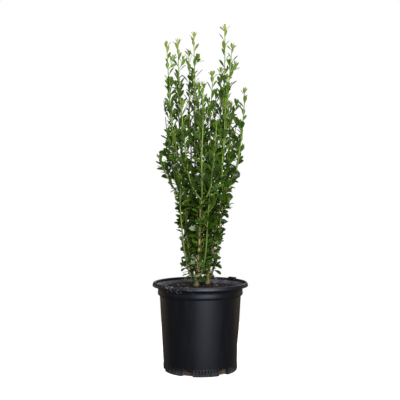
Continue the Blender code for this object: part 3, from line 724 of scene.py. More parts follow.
@dataclass
class NurseryPot:
    """The moulded nursery pot: a thin shell on six hollow feet, with a rolled lip.

    Attributes:
        steps: Steps round the outside, six for each flute of the skirt.
        inner_steps: Steps round the inside.
        wall: Thickness of the moulded wall.
        rim_radius: Radius over the lip.
        lip_radius: Radius of its rolled bead.
        skirt_height: Height of the fluted skirt.
        flutes: Number of its flutes.
        flute_depth: Depth of a flute.
        feet: Number of feet.
        first_notch: Angle of the first notch between two feet.
        notch: Width and height of a notch.
        notch_from: Radius from which it cuts outwards.
        notch_foot: Its foot, clear below the ground.
        notch_rounding: Radius of its corners.
        drain: Lowest and highest corner of a drain hole, before it is turned to its notch.
        drain_rounding: Radius of its edges.
        tab: Size of the tab on the rim: radial, along the rim, and up.
        tab_angle: Where it stands.
        tab_top: Its top.
        tab_rounding: Radius of its edges.
        wall_top: Height up to which the plain wall may be pressed in.
        dent_depth: How far it is pressed in at most.
        dents: Angle, reach in angle, height, reach in height and share of that depth.
        finish: Of the outside.
        inside_finish: Of the inside, painted lighter grey as if lit, with faint dust.
        recess_finish: Of the recesses between the feet: painted warm light in brown and tan, with
            dust.
        lit_inside_from: Height from which the inside gets its finish painted lighter as if lit.
        mouth: Radius up to which it is.
        recess: Radius up to which the recesses get that finish.
    """

    steps: int = 432
    inner_steps: int = 144
    wall: float = 2.0 * MM
    rim_radius: float = 118.0 * MM
    lip_radius: float = 4.0 * MM
    skirt_height: float = 18.0 * MM
    flutes: int = 72
    flute_depth: float = 2.6 * MM
    feet: int = 6
    first_notch: float = math.radians(-51.0)
    notch: tuple[float, float] = (29.0 * MM, 16.5 * MM)
    notch_from: float = 76.0 * MM
    notch_foot: float = -12.0 * MM
    notch_rounding: float = 4.0 * MM
    drain: tuple[tuple[float, float, float], ...] = (
        (70.0 * MM, -6.0 * MM, 9.8 * MM), (80.0 * MM, 6.0 * MM, 15.6 * MM),
    )
    drain_rounding: float = 1.5 * MM
    tab: tuple[float, float, float] = (9.0 * MM, 22.0 * MM, 8.0 * MM)
    tab_angle: float = math.radians(44.0)
    tab_top: float = 220.0 * MM
    tab_rounding: float = 1.2 * MM
    wall_top: float = 180.0 * MM
    dent_depth: float = 1.8 * MM
    dents: tuple[tuple[float, float, float, float, float], ...] = (
        (-0.05, 0.36, 62.0 * MM, 24.0 * MM, 1.0), (2.9, 0.4, 95.0 * MM, 35.0 * MM, 0.5),
    )
    finish: MouldedPolyethylene = field(default_factory=MouldedPolyethylene)
    # The inside is painted lighter grey-violet, standing in for the light on the inner wall, with
    # faint dust.
    inside_finish: MouldedPolyethylene = MouldedPolyethylene(
        "polyethylene_moulded_dusty", dark="#46454D", light="#6C6A76", dust="#6E675C"
    )
    # The recesses are painted brown and tan, standing in for warm light falling into them, with
    # dust over it.
    recess_finish: MouldedPolyethylene = MouldedPolyethylene(
        "polyethylene_moulded_soiled", dark="#3A2618", light="#7A5C30", dust="#8A7240"
    )
    lit_inside_from: float = 30.0 * MM
    mouth: float = 109.0 * MM
    recess: float = 87.0 * MM

    def outside(self) -> list[tuple[float, float]]:
        """Returns the outer profile as a solid's, from the floor to the lip.

        Returns:
            Its points as radius and height.
        """
        foot = [
            (0.0, 7.0), (74.0, 7.0), (74.0, 0.8), (74.8, 0.0), (86.8, 0.0), (88.6, 0.4),
            (89.9, 1.4), (90.7, 3.0), (91.1, 5.2), (91.3, 8.0), (91.4, 12.0), (91.4, 16.8),
            (91.2, 17.6), (90.7, 18.2), (90.8, 20.0),
        ]
        body = [(90.8 + 9.3 * part / 8.0, 20.0 + 163.5 * part / 8.0) for part in range(1, 9)]
        band = [
            (100.15, 184.7), (100.5, 185.4), (101.4, 185.7), (102.8, 186.0), (104.0, 186.8),
            (104.7, 188.2), (105.0, 190.2), (104.9, 193.0), (104.6, 195.4), (104.3, 197.4),
            (104.3, 199.2), (104.6, 201.0), (105.3, 202.8), (106.6, 204.6), (108.3, 206.3),
            (110.0, 207.2), (111.8, 207.4),
        ]
        lip = [
            (114.4, 207.3), (116.2, 207.3), (117.4, 207.6), (118.0, 208.5), (117.9, 209.8),
            (117.4, 212.4), (116.6, 215.0), (115.6, 216.3), (114.5, 216.9), (113.3, 217.0),
            (112.1, 216.5), (111.1, 215.4), (110.5, 214.2), (110.2, 213.0), (0.0, 213.0),
        ]
        return [(radius * MM, height * MM) for radius, height in foot + body + band + lip]

    def hollow(self) -> list[tuple[float, float]]:
        """Returns the profile of the space inside, with the ring of its hollow feet.

        Returns:
            Its points as radius and height.
        """
        points = [
            (0.0, 9.0), (76.0, 9.0), (77.0, 2.0), (86.0, 2.0), (88.2, 6.6), (88.4, 18.0),
            (88.7, 19.0), (98.2, 185.6), (101.8, 199.5), (102.4, 201.4), (104.0, 204.4),
            (107.4, 208.4), (110.0, 210.6), (110.4, 213.0), (110.4, 237.0), (0.0, 237.0),
        ]
        return [(radius * MM, height * MM) for radius, height in points]

    def at_notches(
        self, name: str, low: Sequence[float], high: Sequence[float], rounding: float
    ) -> list[bpy.types.Object]:
        """Models one rounded box at each notch between two feet.

        Args:
            name: The boxes' name.
            low: The lowest corner of one that points along +X.
            high: Its highest corner.
            rounding: Radius of its edges.

        Returns:
            The boxes.
        """
        turns = (
            self.first_notch + index * 2.0 * math.pi / self.feet for index in range(self.feet)
        )
        return [rounded_box(name, low, high, turn, rounding) for turn in turns]

    def notch_boxes(self, extra: float) -> list[bpy.types.Object]:
        """Models the spaces between the feet, larger all round by a margin.

        Args:
            extra: The margin.

        Returns:
            The boxes.
        """
        width, height = self.notch
        low = (self.notch_from - extra, -width / 2.0 - extra, self.notch_foot)
        high = (self.rim_radius, width / 2.0 + extra, height + extra)
        return self.at_notches("notch", low, high, self.notch_rounding + extra)

    def flute(self, places: np.ndarray) -> np.ndarray:
        """Presses the flutes into the skirt and the dents into the wall.

        Args:
            places: Places on the pot, one a row.

        Returns:
            The places moved.
        """
        radius = np.hypot(places[:, 0], places[:, 1])
        angle = np.arctan2(places[:, 1], places[:, 0])
        height = places[:, 2]
        outer = (radius > 84.5 * MM) & (height < self.skirt_height)
        fade = np.clip(height / (5.0 * MM), 0.5, 1.0)
        fade *= np.clip((self.skirt_height - 1.0 * MM - height) / (1.5 * MM), 0.0, 1.0)
        valley = 1.0 - np.abs(np.cos(self.flutes * angle / 2.0))
        press = self.flute_depth * valley * fade * outer
        wall = (height > self.skirt_height) & (height < self.wall_top) & (radius > 80.0 * MM)
        for turn, wide, middle, tall, share in self.dents:
            dent = np.exp(-((angle - turn) / wide) ** 2 - ((height - middle) / tall) ** 2)
            press += self.dent_depth * share * dent * wall
        moved = places.copy()
        share = np.where(radius > 0.0, (radius - press) / np.maximum(radius, 1e-9), 1.0)
        moved[:, 0] *= share
        moved[:, 1] *= share
        return moved

    def build(self) -> None:
        """Models the pot and dresses it."""
        pot = spin_profile("nursery_pot", self.outside(), self.steps)
        hollow = spin_profile("hollow", self.hollow(), self.inner_steps)
        move_vertices(pot, self.flute)
        move_vertices(hollow, self.flute)
        combine(pot, self.notch_boxes(0.0), "DIFFERENCE")
        combine(hollow, self.notch_boxes(self.wall), "DIFFERENCE")
        drains = self.at_notches("drain", *self.drain, self.drain_rounding)
        combine(pot, [hollow, *drains], "DIFFERENCE")
        depth, width, height = self.tab
        middle = self.rim_radius - self.lip_radius
        tab = rounded_box(
            "tab",
            (middle - depth / 2.0, -width / 2.0, self.tab_top - height),
            (middle + depth / 2.0, width / 2.0, self.tab_top),
            self.tab_angle,
            self.tab_rounding,
        )
        combine(pot, [tab], "UNION")
        smooth_by_angle(pot, 40.0)
        self.paint(pot)
        dress(pot, ["pot"])

    def paint(self, pot: bpy.types.Object) -> None:
        """Gives their finishes to the outside, to the inside painted lighter as if lit, and to the
        recesses painted in warm light over dust.

        Args:
            pot: The finished pot.
        """
        pot.data.materials.clear()
        for finish in (self.finish, self.inside_finish, self.recess_finish):
            pot.data.materials.append(finish.make())
        for face in pot.data.polygons:
            radius = math.hypot(face.center.x, face.center.y)
            outwards = face.normal.xy.dot(face.center.xy) / max(radius, MM)
            face.material_index = 0
            height = face.center.z
            # The inside above the mix takes the finish painted lighter as if lit.
            if height > self.lit_inside_from and outwards < -0.25 and radius < self.mouth:
                face.material_index = 1
            # The recesses under the skirt take the finish painted with warm light and dust.
            elif height < self.skirt_height and radius < self.recess and face.normal.z < 0.5:
                face.material_index = 2 if height > 1.0 * MM else 0


# --- potting mix ---


CORNERS = (
    (-1, -1, -1), (1, -1, -1), (1, 1, -1), (-1, 1, -1),
    (-1, -1, 1), (1, -1, 1), (1, 1, 1), (-1, 1, 1),
)
CHIP_FACES = ((0, 3, 2, 1), (4, 5, 6, 7), (0, 1, 5, 4), (1, 2, 6, 5), (2, 3, 7, 6), (3, 0, 4, 7))


class ChipKind(Enum):
    """A kind of chip: its name, its colours, its count and its length in millimetres."""

    DARK = ("bark_chips_dark", "#0A0706", "#1E1610", 620, 9.0)
    BROWN = ("bark_chips_brown", "#150E09", "#382719", 190, 10.0)
    RED = ("bark_chips_reddish", "#240F09", "#5E2A1A", 36, 9.0)
    PALE = ("weathered_chips", "#4E4D4B", "#A3A29E", 30, 10.0)


@dataclass
class PottingMix:
    """The potting mix: a mounded, crumbly surface with chips of bark lying on it.

    Attributes:
        edge: Height at the wall.
        top: Height of the ground in the middle.
        flat_radius: Radius of the level middle.
        reach: Radius at the wall.
        steps: Steps round the surface.
        rings: Rings across the surface.
        bare: Radius kept clear round each stem.
        margin: How far the chips stay from the wall.
        lengths: Range of a chip's length, over its kind's.
        widths: Range of its width, over its length.
        depths: Range of its thickness, in millimetres.
        tilts: How far it tilts about X and Y, in degrees.
        wear: How small a worn corner may be, over the full one.
        raised: How far its middle stands over the ground, over its thickness.
        finish: Of the mix under the chips.
    """

    edge: float = 201.5 * MM
    top: float = 208.6 * MM
    flat_radius: float = 44.0 * MM
    reach: float = 101.6 * MM
    steps: int = 160
    rings: int = 34
    bare: float = 9.0 * MM
    margin: float = 6.0 * MM
    lengths: tuple[float, float] = (0.45, 1.35)
    widths: tuple[float, float] = (0.35, 0.7)
    depths: tuple[float, float] = (1.2, 2.6)
    tilts: tuple[float, float] = (22.0, 16.0)
    wear: float = 0.72
    raised: float = 0.25
    finish: CompostedBark = field(default_factory=CompostedBark)

    def level(self, radius: float) -> float:
        """Returns the ground's height at a radius, before its lumps."""
        part = min(max((radius - self.flat_radius) / (self.reach - self.flat_radius), 0.0), 1.0)
        return self.top + (self.edge - self.top) * part

    def lump(self, place: Sequence[float]) -> float:
        """Returns how far the ground stands above or below its level at a place.

        Args:
            place: The place.

        Returns:
            The height of the lump, below zero for a hollow.
        """
        coarse = noise.noise(Vector((place[0], place[1], 0.3)) * per_metre(16.0))
        fine = noise.noise(Vector((place[0], place[1], 0.9)) * per_metre(4.5))
        return (1.1 * coarse + 0.7 * fine) * MM

    def roughen(self, places: np.ndarray) -> np.ndarray:
        """Raises and lowers the surface into lumps, and leaves what is under it.

        Args:
            places: Places on the mix, one a row.

        Returns:
            The places moved.
        """
        moved = places.copy()
        for index, place in enumerate(places):
            if place[2] > self.edge - 1.0 * MM:
                moved[index, 2] += self.lump(place)
        return moved

    def build_ground(self) -> None:
        """Models the body of mix with its lumpy surface."""
        under = (
            (0.0, 9.3), (73.4, 9.3), (73.4, 19.4), (88.3, 19.4), (97.8, 185.6), (101.4, 199.0),
        )
        profile = [(radius * MM, height * MM) for radius, height in under]
        for ring in range(self.rings, -1, -1):
            radius = self.reach * ring / self.rings
            profile.append((radius, self.level(radius)))
        ground = spin_profile("potting_mix_ground", profile, self.steps)
        move_vertices(ground, self.roughen)
        smooth_by_angle(ground, 60.0)
        ground.data.materials.append(self.finish.make())
        dress(ground, ["potting_mix"])

    def chip(
        self, dice: random.Random, length: float, feet: Sequence[Vector]
    ) -> np.ndarray | None:
        """Lays one chip on the ground.

        Args:
            dice: The seeded dice.
            length: Its usual length in millimetres.
            feet: Where the stems stand.

        Returns:
            Its eight corners, or None where a stem stands.
        """
        radius = (self.reach - self.margin) * math.sqrt(dice.random())
        azimuth = dice.uniform(0.0, 2.0 * math.pi)
        spot = Vector((radius * math.cos(azimuth), radius * math.sin(azimuth), 0.0))
        if any((foot - spot).length < self.bare for foot in feet):
            return None
        long = length * MM * dice.uniform(*self.lengths)
        size = (long, long * dice.uniform(*self.widths), dice.uniform(*self.depths) * MM)
        turn = Matrix.Rotation(dice.uniform(0.0, 2.0 * math.pi), 3, "Z")
        for tilt, axis in zip(self.tilts, "XY"):
            turn @= Matrix.Rotation(math.radians(dice.uniform(-tilt, tilt)), 3, axis)
        spot.z = self.level(radius) + self.lump(spot) + size[2] * self.raised
        corners = []
        for signs in CORNERS:
            worn = [sign * side * dice.uniform(self.wear, 1.0) for sign, side in zip(signs, size)]
            corners.append(tuple(spot + turn @ (Vector(worn) / 2.0)))
        return np.array(corners)

    def build_chips(self, feet: Sequence[Vector]) -> None:
        """Lays the chips, each kind as one piece.

        Args:
            feet: Where the stems stand.
        """
        dice = random.Random(f"{SEED} chips")
        for kind in ChipKind:
            name, groove, face, count, length = kind.value
            gathered = Gathered()
            while count > 0:
                corners = self.chip(dice, length, feet)
                if corners is not None:
                    gathered.add(corners, CHIP_FACES)
                    count -= 1
            material = SplitBark(f"{name}_split", groove, face).make()
            dress(gathered.make(name, [material], 25.0), ["potting_mix"])


# --- limbs ---


@dataclass(frozen=True)
class Limb:
    """A tapering limb that leaves its parent and rises to its tip.

    Attributes:
        name: The node's name.
        parent: The stem or bough that it grows from.
        foot: Height of its foot, in millimetres.
        azimuth: Direction in which it leaves its parent, in degrees from +X.
        shoulder: How far it swings out before it turns up, in millimetres.
        tip: Where it ends, in millimetres.
        radii: Radius at the foot and at the tip, in millimetres.
        turn: Rise in which the shoulder is reached, in millimetres.
        lean: Exponent of the rest of the way out; above 1 it leans out late.
        sway: Slow wander of the limb from its line, in millimetres.
    """

    name: str
    parent: str
    foot: float
    azimuth: float
    shoulder: float
    tip: tuple[float, float, float]
    radii: tuple[float, float] = (2.0, 1.0)
    turn: float = 14.0
    lean: float = 1.0
    sway: float = 1.5


@dataclass(frozen=True)
class Stem:
    """A woody stem that stands on the mix, in millimetres."""

    name: str
    foot: tuple[float, float]
    tip: tuple[float, float, float]
    radii: tuple[float, float]
    root_flare: float


@dataclass(frozen=True)
class Axis:
    """The centre line of a limb with the radius at each of its points."""

    points: list[Vector]
    radii: list[float]

    def length(self) -> float:
        """Returns its length."""
        return sum((high - low).length for low, high in zip(self.points, self.points[1:]))

    def radius(self, index: int, part: float) -> float:
        """Returns the radius a part of the way from one of its points to the next."""
        return self.radii[index] * (1.0 - part) + self.radii[index + 1] * part

    def at_height(self, height: float) -> tuple[Vector, float]:
        """Returns its point at a height, and the radius there.

        Args:
            height: The height.

        Returns:
            The point and the radius.
        """
        for index, (low, high) in enumerate(zip(self.points, self.points[1:])):
            if high.z >= height:
                part = (height - low.z) / (high.z - low.z)
                return low.lerp(high, part), self.radius(index, part)
        return self.points[-1].copy(), self.radii[-1]

    def along(self, distance: float) -> tuple[Vector, Vector, float]:
        """Returns its point a distance from the foot, with its direction and radius.

        Args:
            distance: The distance along the line.

        Returns:
            The point, the line's direction and the radius.
        """
        for index, (low, high) in enumerate(zip(self.points, self.points[1:])):
            step = (high - low).length
            if distance <= step:
                part = distance / step
                return low.lerp(high, part), (high - low).normalized(), self.radius(index, part)
            distance -= step
        low, high = self.points[-2:]
        return high.copy(), (high - low).normalized(), self.radii[-1]


STEMS = (
    Stem("stem_left", (-9.5, -16.0), (-8.0, -12.0, 262.0), (4.9, 4.2), 3.4),
    Stem("stem_right", (18.5, 18.0), (22.0, 19.0, 262.0), (4.0, 3.5), 2.8),
)

BOUGHS = (
    Limb("bough_left_outer", "stem_left", 230, 184, 11, (-40, -18, 452), (2.9, 2.1)),
    Limb("bough_left_inner", "stem_left", 252, 156, 6.5, (-19, 8, 485), (3.0, 2.1), lean=1.3),
    Limb("bough_centre", "stem_left", 248, -22, 6, (23, -8, 444), (3.0, 2.2), lean=1.9),
    Limb("bough_upright", "stem_left", 259, 54, 1.0, (3, 17, 470), (3.0, 2.1), lean=1.2),
    Limb("bough_front", "stem_left", 241, -88, 10, (4, -50, 430), (2.7, 2.0)),
    Limb("bough_back_left", "stem_left", 237, 100, 11, (-36, 48, 440), (2.7, 2.0), lean=0.8),
    Limb("bough_right_inner", "stem_right", 257, -10, 1, (43, 18, 405), (2.9, 2.1), lean=1.3),
    Limb("bough_right_outer", "stem_right", 245, -75, 10, (60, -14, 455), (2.8, 2.1), lean=1.2),
    Limb("bough_back_right", "stem_right", 238, 88, 10, (36, 62, 445), (2.7, 2.0)),
)

SHOOTS = (
    Limb("foliage_left_high", "bough_left_outer", 446, 215, 20, (-82, -30, 809)),
    Limb("foliage_left_edge", "bough_left_outer", 436, 150, 24, (-80, 12, 724)),
    Limb(
        "foliage_left_low", "bough_left_outer", 420, 200, 38, (-102, -36, 536), (1.9, 1.0), turn=40
    ),
    Limb("foliage_left_tall", "bough_left_inner", 474, 178, 22, (-55, 2, 820)),
    Limb("foliage_centre_tall", "bough_left_inner", 480, 20, 6, (-16, 8, 838)),
    Limb("foliage_centre_left", "bough_left_inner", 468, 100, 18, (-29, 36, 798)),
    Limb("foliage_right_tall", "bough_centre", 438, 8, 33, (60, -2, 855), turn=34),
    Limb("foliage_right_high", "bough_centre", 426, -46, 40, (77, -36, 803), turn=40),
    Limb("foliage_centre_front", "bough_centre", 434, 205, 20, (-4, -32, 712), turn=26),
    Limb("foliage_centre_right", "bough_upright", 456, -40, 20, (31, 2, 742), turn=24),
    Limb("foliage_centre_back", "bough_upright", 450, 34, 26, (40, 38, 702), turn=24),
    Limb("foliage_middle", "bough_upright", 464, 110, 18, (6, 44, 690), turn=22),
    Limb("foliage_right_middle", "bough_right_inner", 398, -2, 28, (76, 20, 668), turn=34),
    Limb("foliage_right_back", "bough_right_inner", 388, 66, 26, (68, 46, 740), turn=34),
    Limb("foliage_right_edge", "bough_right_outer", 448, 0, 36, (109, -12, 699), turn=46),
    Limb(
        "foliage_right_low", "bough_right_outer", 436, -38, 38, (103, -44, 600), (1.9, 1.0), turn=40
    ),
    Limb("foliage_right_front", "bough_right_outer", 430, -98, 34, (60, -62, 668), turn=36),
    Limb("foliage_front_left", "bough_front", 421, 196, 34, (-44, -76, 660), turn=36),
    Limb("foliage_front_middle", "bough_front", 426, -90, 26, (6, -92, 704), turn=30),
    Limb("foliage_front_right", "bough_front", 413, -12, 26, (38, -92, 610), (1.9, 1.0), turn=32),
    Limb("foliage_back_left_edge", "bough_back_left", 428, 204, 32, (-88, 48, 640), turn=36),
    Limb("foliage_back_left_high", "bough_back_left", 434, 110, 24, (-58, 74, 748), turn=26),
    Limb("foliage_back_middle_left", "bough_back_left", 421, 34, 28, (-14, 84, 690), turn=30),
    Limb("foliage_back_middle", "bough_back_right", 430, 130, 26, (20, 100, 652), turn=30),
    Limb("foliage_back_right_high", "bough_back_right", 438, 60, 22, (54, 82, 762), turn=26),
    Limb("foliage_back_right_edge", "bough_back_right", 426, 0, 36, (92, 66, 634), turn=36),
    Limb("foliage_base_left", "stem_left", 220, 205, 22, (-62, -44, 596), (2.2, 1.0), turn=24),
    Limb("foliage_base_front", "stem_left", 224, -50, 26, (30, -58, 560), (2.1, 1.0), turn=30),
    Limb("foliage_base_back_left", "stem_left", 219, 128, 26, (-60, 42, 560), (2.1, 1.0), turn=30),
    Limb("foliage_base_right", "stem_right", 222, -20, 14, (68, -36, 560), (2.2, 1.0), turn=28),
    Limb("foliage_base_back", "stem_right", 224, 110, 24, (14, 76, 545), (2.1, 1.0), turn=30),
)


@dataclass
class Skeleton:
    """The centre lines of all limbs, worked out from their tables.

    Attributes:
        ground: Height of the level ground.
        flare_rise: Height over which the root flare fades.
        foot_offset: How far out in its parent a limb starts, over the parent's radius.
        tuft_rise: How far a shoot's last leaves reach past its end.
        stem_steps: Stretches of a stem's line.
        limb_steps: Stretches of a bough's or shoot's line.
        step_growth: Exponent that makes the stretches shorter near a limb's foot.
        sway_turns: How fast a limb wanders along X and Y, in radians over its length.
        wood: The lines of the stems and boughs.
        shoots: The lines of the shoots.
    """

    ground: float = 208.9 * MM
    flare_rise: float = 7.0 * MM
    foot_offset: float = 0.8
    tuft_rise: float = 13.0 * MM
    stem_steps: int = 12
    limb_steps: int = 32
    step_growth: float = 1.4
    sway_turns: tuple[float, float] = (7.0, 5.0)
    wood: dict[str, Axis] = field(default_factory=dict)
    shoots: dict[str, Axis] = field(default_factory=dict)

    def stem_axis(self, stem: Stem) -> Axis:
        """Works out a stem's line with its root flare, from the ground to its fork.

        Args:
            stem: The stem.

        Returns:
            The line with its radii.
        """
        foot = Vector((stem.foot[0] * MM, stem.foot[1] * MM, self.ground))
        tip = Vector(stem.tip) * MM
        points, radii = [], []
        for step in range(self.stem_steps + 1):
            part = (step / self.stem_steps) ** self.step_growth
            place = foot.lerp(tip, part)
            flare = stem.root_flare * MM * math.exp(-(place.z - foot.z) / self.flare_rise)
            points.append(place)
            radii.append((stem.radii[0] + (stem.radii[1] - stem.radii[0]) * part) * MM + flare)
        return Axis(points, radii)

    def limb_axis(self, limb: Limb, parent: Axis, short: float) -> Axis:
        """Works out a limb's line: out of its parent, round the shoulder and up.

        Args:
            limb: The limb.
            parent: The line of the limb that it grows from.
            short: How far the line stops below its tip, for the leaves that end it.

        Returns:
            The line with its radii.
        """
        azimuth = math.radians(limb.azimuth)
        outwards = Vector((math.cos(azimuth), math.sin(azimuth), 0.0))
        middle, thickness = parent.at_height(limb.foot * MM)
        foot = middle + outwards * thickness * self.foot_offset
        tip = Vector(limb.tip) * MM
        tip.z -= short
        shoulder = outwards * limb.shoulder * MM
        rest = tip - foot - shoulder
        phase = math.radians(limb.azimuth * 3.0 + limb.foot)
        points, radii = [], []
        for step in range(self.limb_steps + 1):
            part = (step / self.limb_steps) ** self.step_growth
            rise = part * (tip.z - foot.z)
            swing = 1.0 - math.exp(-rise / (limb.turn * MM))
            place = foot + shoulder * swing + rest * part**limb.lean
            wander = limb.sway * MM * math.sin(math.pi * part)
            place.x += wander * math.sin(phase + self.sway_turns[0] * part)
            place.y += wander * math.cos(phase + self.sway_turns[1] * part)
            place.z = foot.z + rise
            points.append(place)
            radii.append((limb.radii[0] + (limb.radii[1] - limb.radii[0]) * part) * MM)
        return Axis(points, radii)

    def build(self) -> None:
        """Works out every line, parents first."""
        for stem in STEMS:
            self.wood[stem.name] = self.stem_axis(stem)
        for limb in BOUGHS:
            self.wood[limb.name] = self.limb_axis(limb, self.wood[limb.parent], 0.0)
        for limb in SHOOTS:
            self.shoots[limb.name] = self.limb_axis(limb, self.wood[limb.parent], self.tuft_rise)


def resampled(axis: Axis, step: float) -> Axis:
    """Returns a centre line with points an even step apart.

    Args:
        axis: The line.
        step: The distance between two points, at most.

    Returns:
        The new line.
    """
    count = max(3, math.ceil(axis.length() / step))
    points, radii = [], []
    for index in range(count + 1):
        place, _, radius = axis.along(axis.length() * index / count)
        points.append(place)
        radii.append(radius)
    return Axis(points, radii)


def rooted(axis: Axis, depth: float) -> Axis:
    """Returns a centre line that starts deeper in what carries it."""
    first = (axis.points[1] - axis.points[0]).normalized()
    return Axis([axis.points[0] - first * depth, *axis.points], [axis.radii[0], *axis.radii])


def tube(
    axis: Axis,
    sides: int,
    relief: Callable[[Vector, float, float], float],
    level_foot: bool = False,
) -> tuple[np.ndarray, list[tuple[int, ...]]]:
    """Makes a closed tube round a centre line, with relief on its surface.

    Args:
        axis: The centre line with its radii.
        sides: Number of sides.
        relief: Gives how far the surface stands out, from a place on it, the angle round
            the limb and the distance along it.
        level_foot: Whether its foot is cut level.

    Returns:
        Its vertices and its faces.
    """
    vertices, faces = [], [tuple(reversed(range(sides)))]
    side, distance = Vector((1.0, 0.0, 0.0)), 0.0
    last = len(axis.points) - 1
    for index, point in enumerate(axis.points):
        before, after = axis.points[max(index - 1, 0)], axis.points[min(index + 1, last)]
        along = (after - before).normalized()
        if level_foot and index == 0:
            along = Vector((0.0, 0.0, 1.0))
        distance += (point - axis.points[index - 1]).length if index else 0.0
        side = (side - along * side.dot(along)).normalized()
        other = along.cross(side)
        for corner in range(sides):
            angle = 2.0 * math.pi * corner / sides
            outwards = side * math.cos(angle) + other * math.sin(angle)
            surface = point + outwards * axis.radii[index]
            vertices.append(surface + outwards * relief(surface, angle, distance))
    for ring in range(last):
        for corner in range(sides):
            a, b = ring * sides + corner, ring * sides + (corner + 1) % sides
            faces.append((a, b, b + sides, a + sides))
    peak = (axis.points[-1] - axis.points[-2]).normalized() * axis.radii[-1] * 0.6
    vertices.append(axis.points[-1] + peak)
    start = last * sides
    faces += [(start + c, start + (c + 1) % sides, len(vertices) - 1) for c in range(sides)]
    return np.array([tuple(vertex) for vertex in vertices]), faces


@dataclass
class Wood:
    """The woody stems and boughs, with ridged bark, scars and swollen collars.

    Attributes:
        sides: Sides of a limb.
        ring: Distance between the rings of its mesh.
        ridge: Height of the bark's ridges.
        ridge_width: Width of a ridge, in millimetres.
        scar_gap: Distance between old leaf scars along a bough.
        scar: How far a scar stands out.
        scar_reach: Its reach along the bough.
        collar: How much a bough swells where it leaves its stem, over its radius.
        collar_reach: Length over which that fades.
        lobe: Height of the lobes of the root flare.
        lobes: Their number.
        lobe_reach: Height over which they fade.
        lobe_turn: How they turn from stem to stem, in radians for each metre along X.
        sunk: How deep a bough starts in its stem, over its radius.
        sunlit: The boughs that get the bark painted lighter as sunlit; the rest get the copy
            painted darker as shade.
    """

    sides: int = 16
    ring: float = 1.6 * MM
    ridge: float = 0.28 * MM
    ridge_width: float = 2.6
    scar_gap: float = 13.0 * MM
    scar: float = 0.35 * MM
    scar_reach: float = 1.5 * MM
    collar: float = 0.35
    collar_reach: float = 5.0 * MM
    lobe: float = 0.8 * MM
    lobes: int = 3
    lobe_reach: float = 9.0 * MM
    lobe_turn: float = 900.0
    sunk: float = 1.5
    sunlit: tuple[str, ...] = ("bough_front", "bough_centre", "bough_right_inner", "bough_upright")

    @staticmethod
    def bark(shaded: bool) -> bpy.types.Material:
        """Makes a bark: olive at the ground and tan above it, as a copy painted lighter as sunlit
        or a copy painted greener and duller as shade.

        Args:
            shaded: Whether it is the copy painted darker as shade, for the outer boughs.

        Returns:
            The material.
        """
        if shaded:
            heights = (
                (209.0, "#8A8C50"), (240.0, "#8E8456"), (330.0, "#847E4A"), (400.0, "#6E783C"),
                (480.0, "#64803A"),
            )
            return Rind("holly_bark_shaded", heights, "#5C4A38", 0.65, 2.6, 0.8, 0.5).make()
        heights = (
            (209.0, "#8C8A50"), (232.0, "#B3A26C"), (262.0, "#C0A874"), (330.0, "#C6AE74"),
            (400.0, "#B0A264"), (480.0, "#768E40"),
        )
        return Rind("holly_bark_sunlit", heights, "#6E5842", 0.6, 2.6, 0.78, 0.5).make()

    def relief(self, place: Vector, angle: float, distance: float) -> float:
        """Returns how far the bark stands out: ridges along the limb and leaf scars.

        Args:
            place: The place on the limb.
            angle: The angle round the limb.
            distance: The distance along it.

        Returns:
            How far it stands out.
        """
        drawn = Vector((place.x, place.y, place.z * 0.3))
        ridges = noise.noise(drawn * per_metre(self.ridge_width))
        turn = math.floor(distance / self.scar_gap)
        near = (distance / self.scar_gap - turn - 0.5) * self.scar_gap / self.scar_reach
        facing = math.cos(angle - turn * GOLDEN)
        scar = math.exp(-near * near) * max(facing, 0.0) ** 2
        return self.ridge * ridges + self.scar * scar

    def build(self, skeleton: Skeleton) -> None:
        """Models each stem and bough as its own piece.

        Args:
            skeleton: The lines of the limbs.
        """
        # Two copies of one bark: one painted lighter as sunlit light, one painted darker as shade.
        sunlit, shaded = self.bark(False), self.bark(True)
        for stem in STEMS:
            axis = resampled(skeleton.wood[stem.name], self.ring)
            foot = Vector(axis.points[0])

            def flared(place: Vector, angle: float, distance: float) -> float:
                """Adds the lobes of the root flare to the bark's relief.

                Args:
                    place: The place on the stem.
                    angle: The angle round it.
                    distance: The distance along it.

                Returns:
                    How far the surface stands out.
                """
                lobes = self.lobe * math.cos(self.lobes * angle + foot.x * self.lobe_turn)
                fade = math.exp(-distance / self.lobe_reach)
                return self.relief(place, angle, distance) + lobes * fade

            gathered = Gathered()
            gathered.add(*tube(axis, self.sides, flared, level_foot=True))
            dress(gathered.make(f"barked_{stem.name}", [sunlit], 50.0), [stem.name])
        for limb in BOUGHS:
            line = skeleton.wood[limb.name]
            axis = resampled(rooted(line, self.sunk * line.radii[0]), self.ring)
            swollen = [
                radius * (1.0 + self.collar * math.exp(-index * self.ring / self.collar_reach))
                for index, radius in enumerate(axis.radii)
            ]
            gathered = Gathered()
            gathered.add(*tube(Axis(axis.points, swollen), self.sides, self.relief))
            bark = sunlit if limb.name in self.sunlit else shaded
            dress(gathered.make(f"barked_{limb.name}", [bark], 50.0), [limb.name])


# --- foliage ---


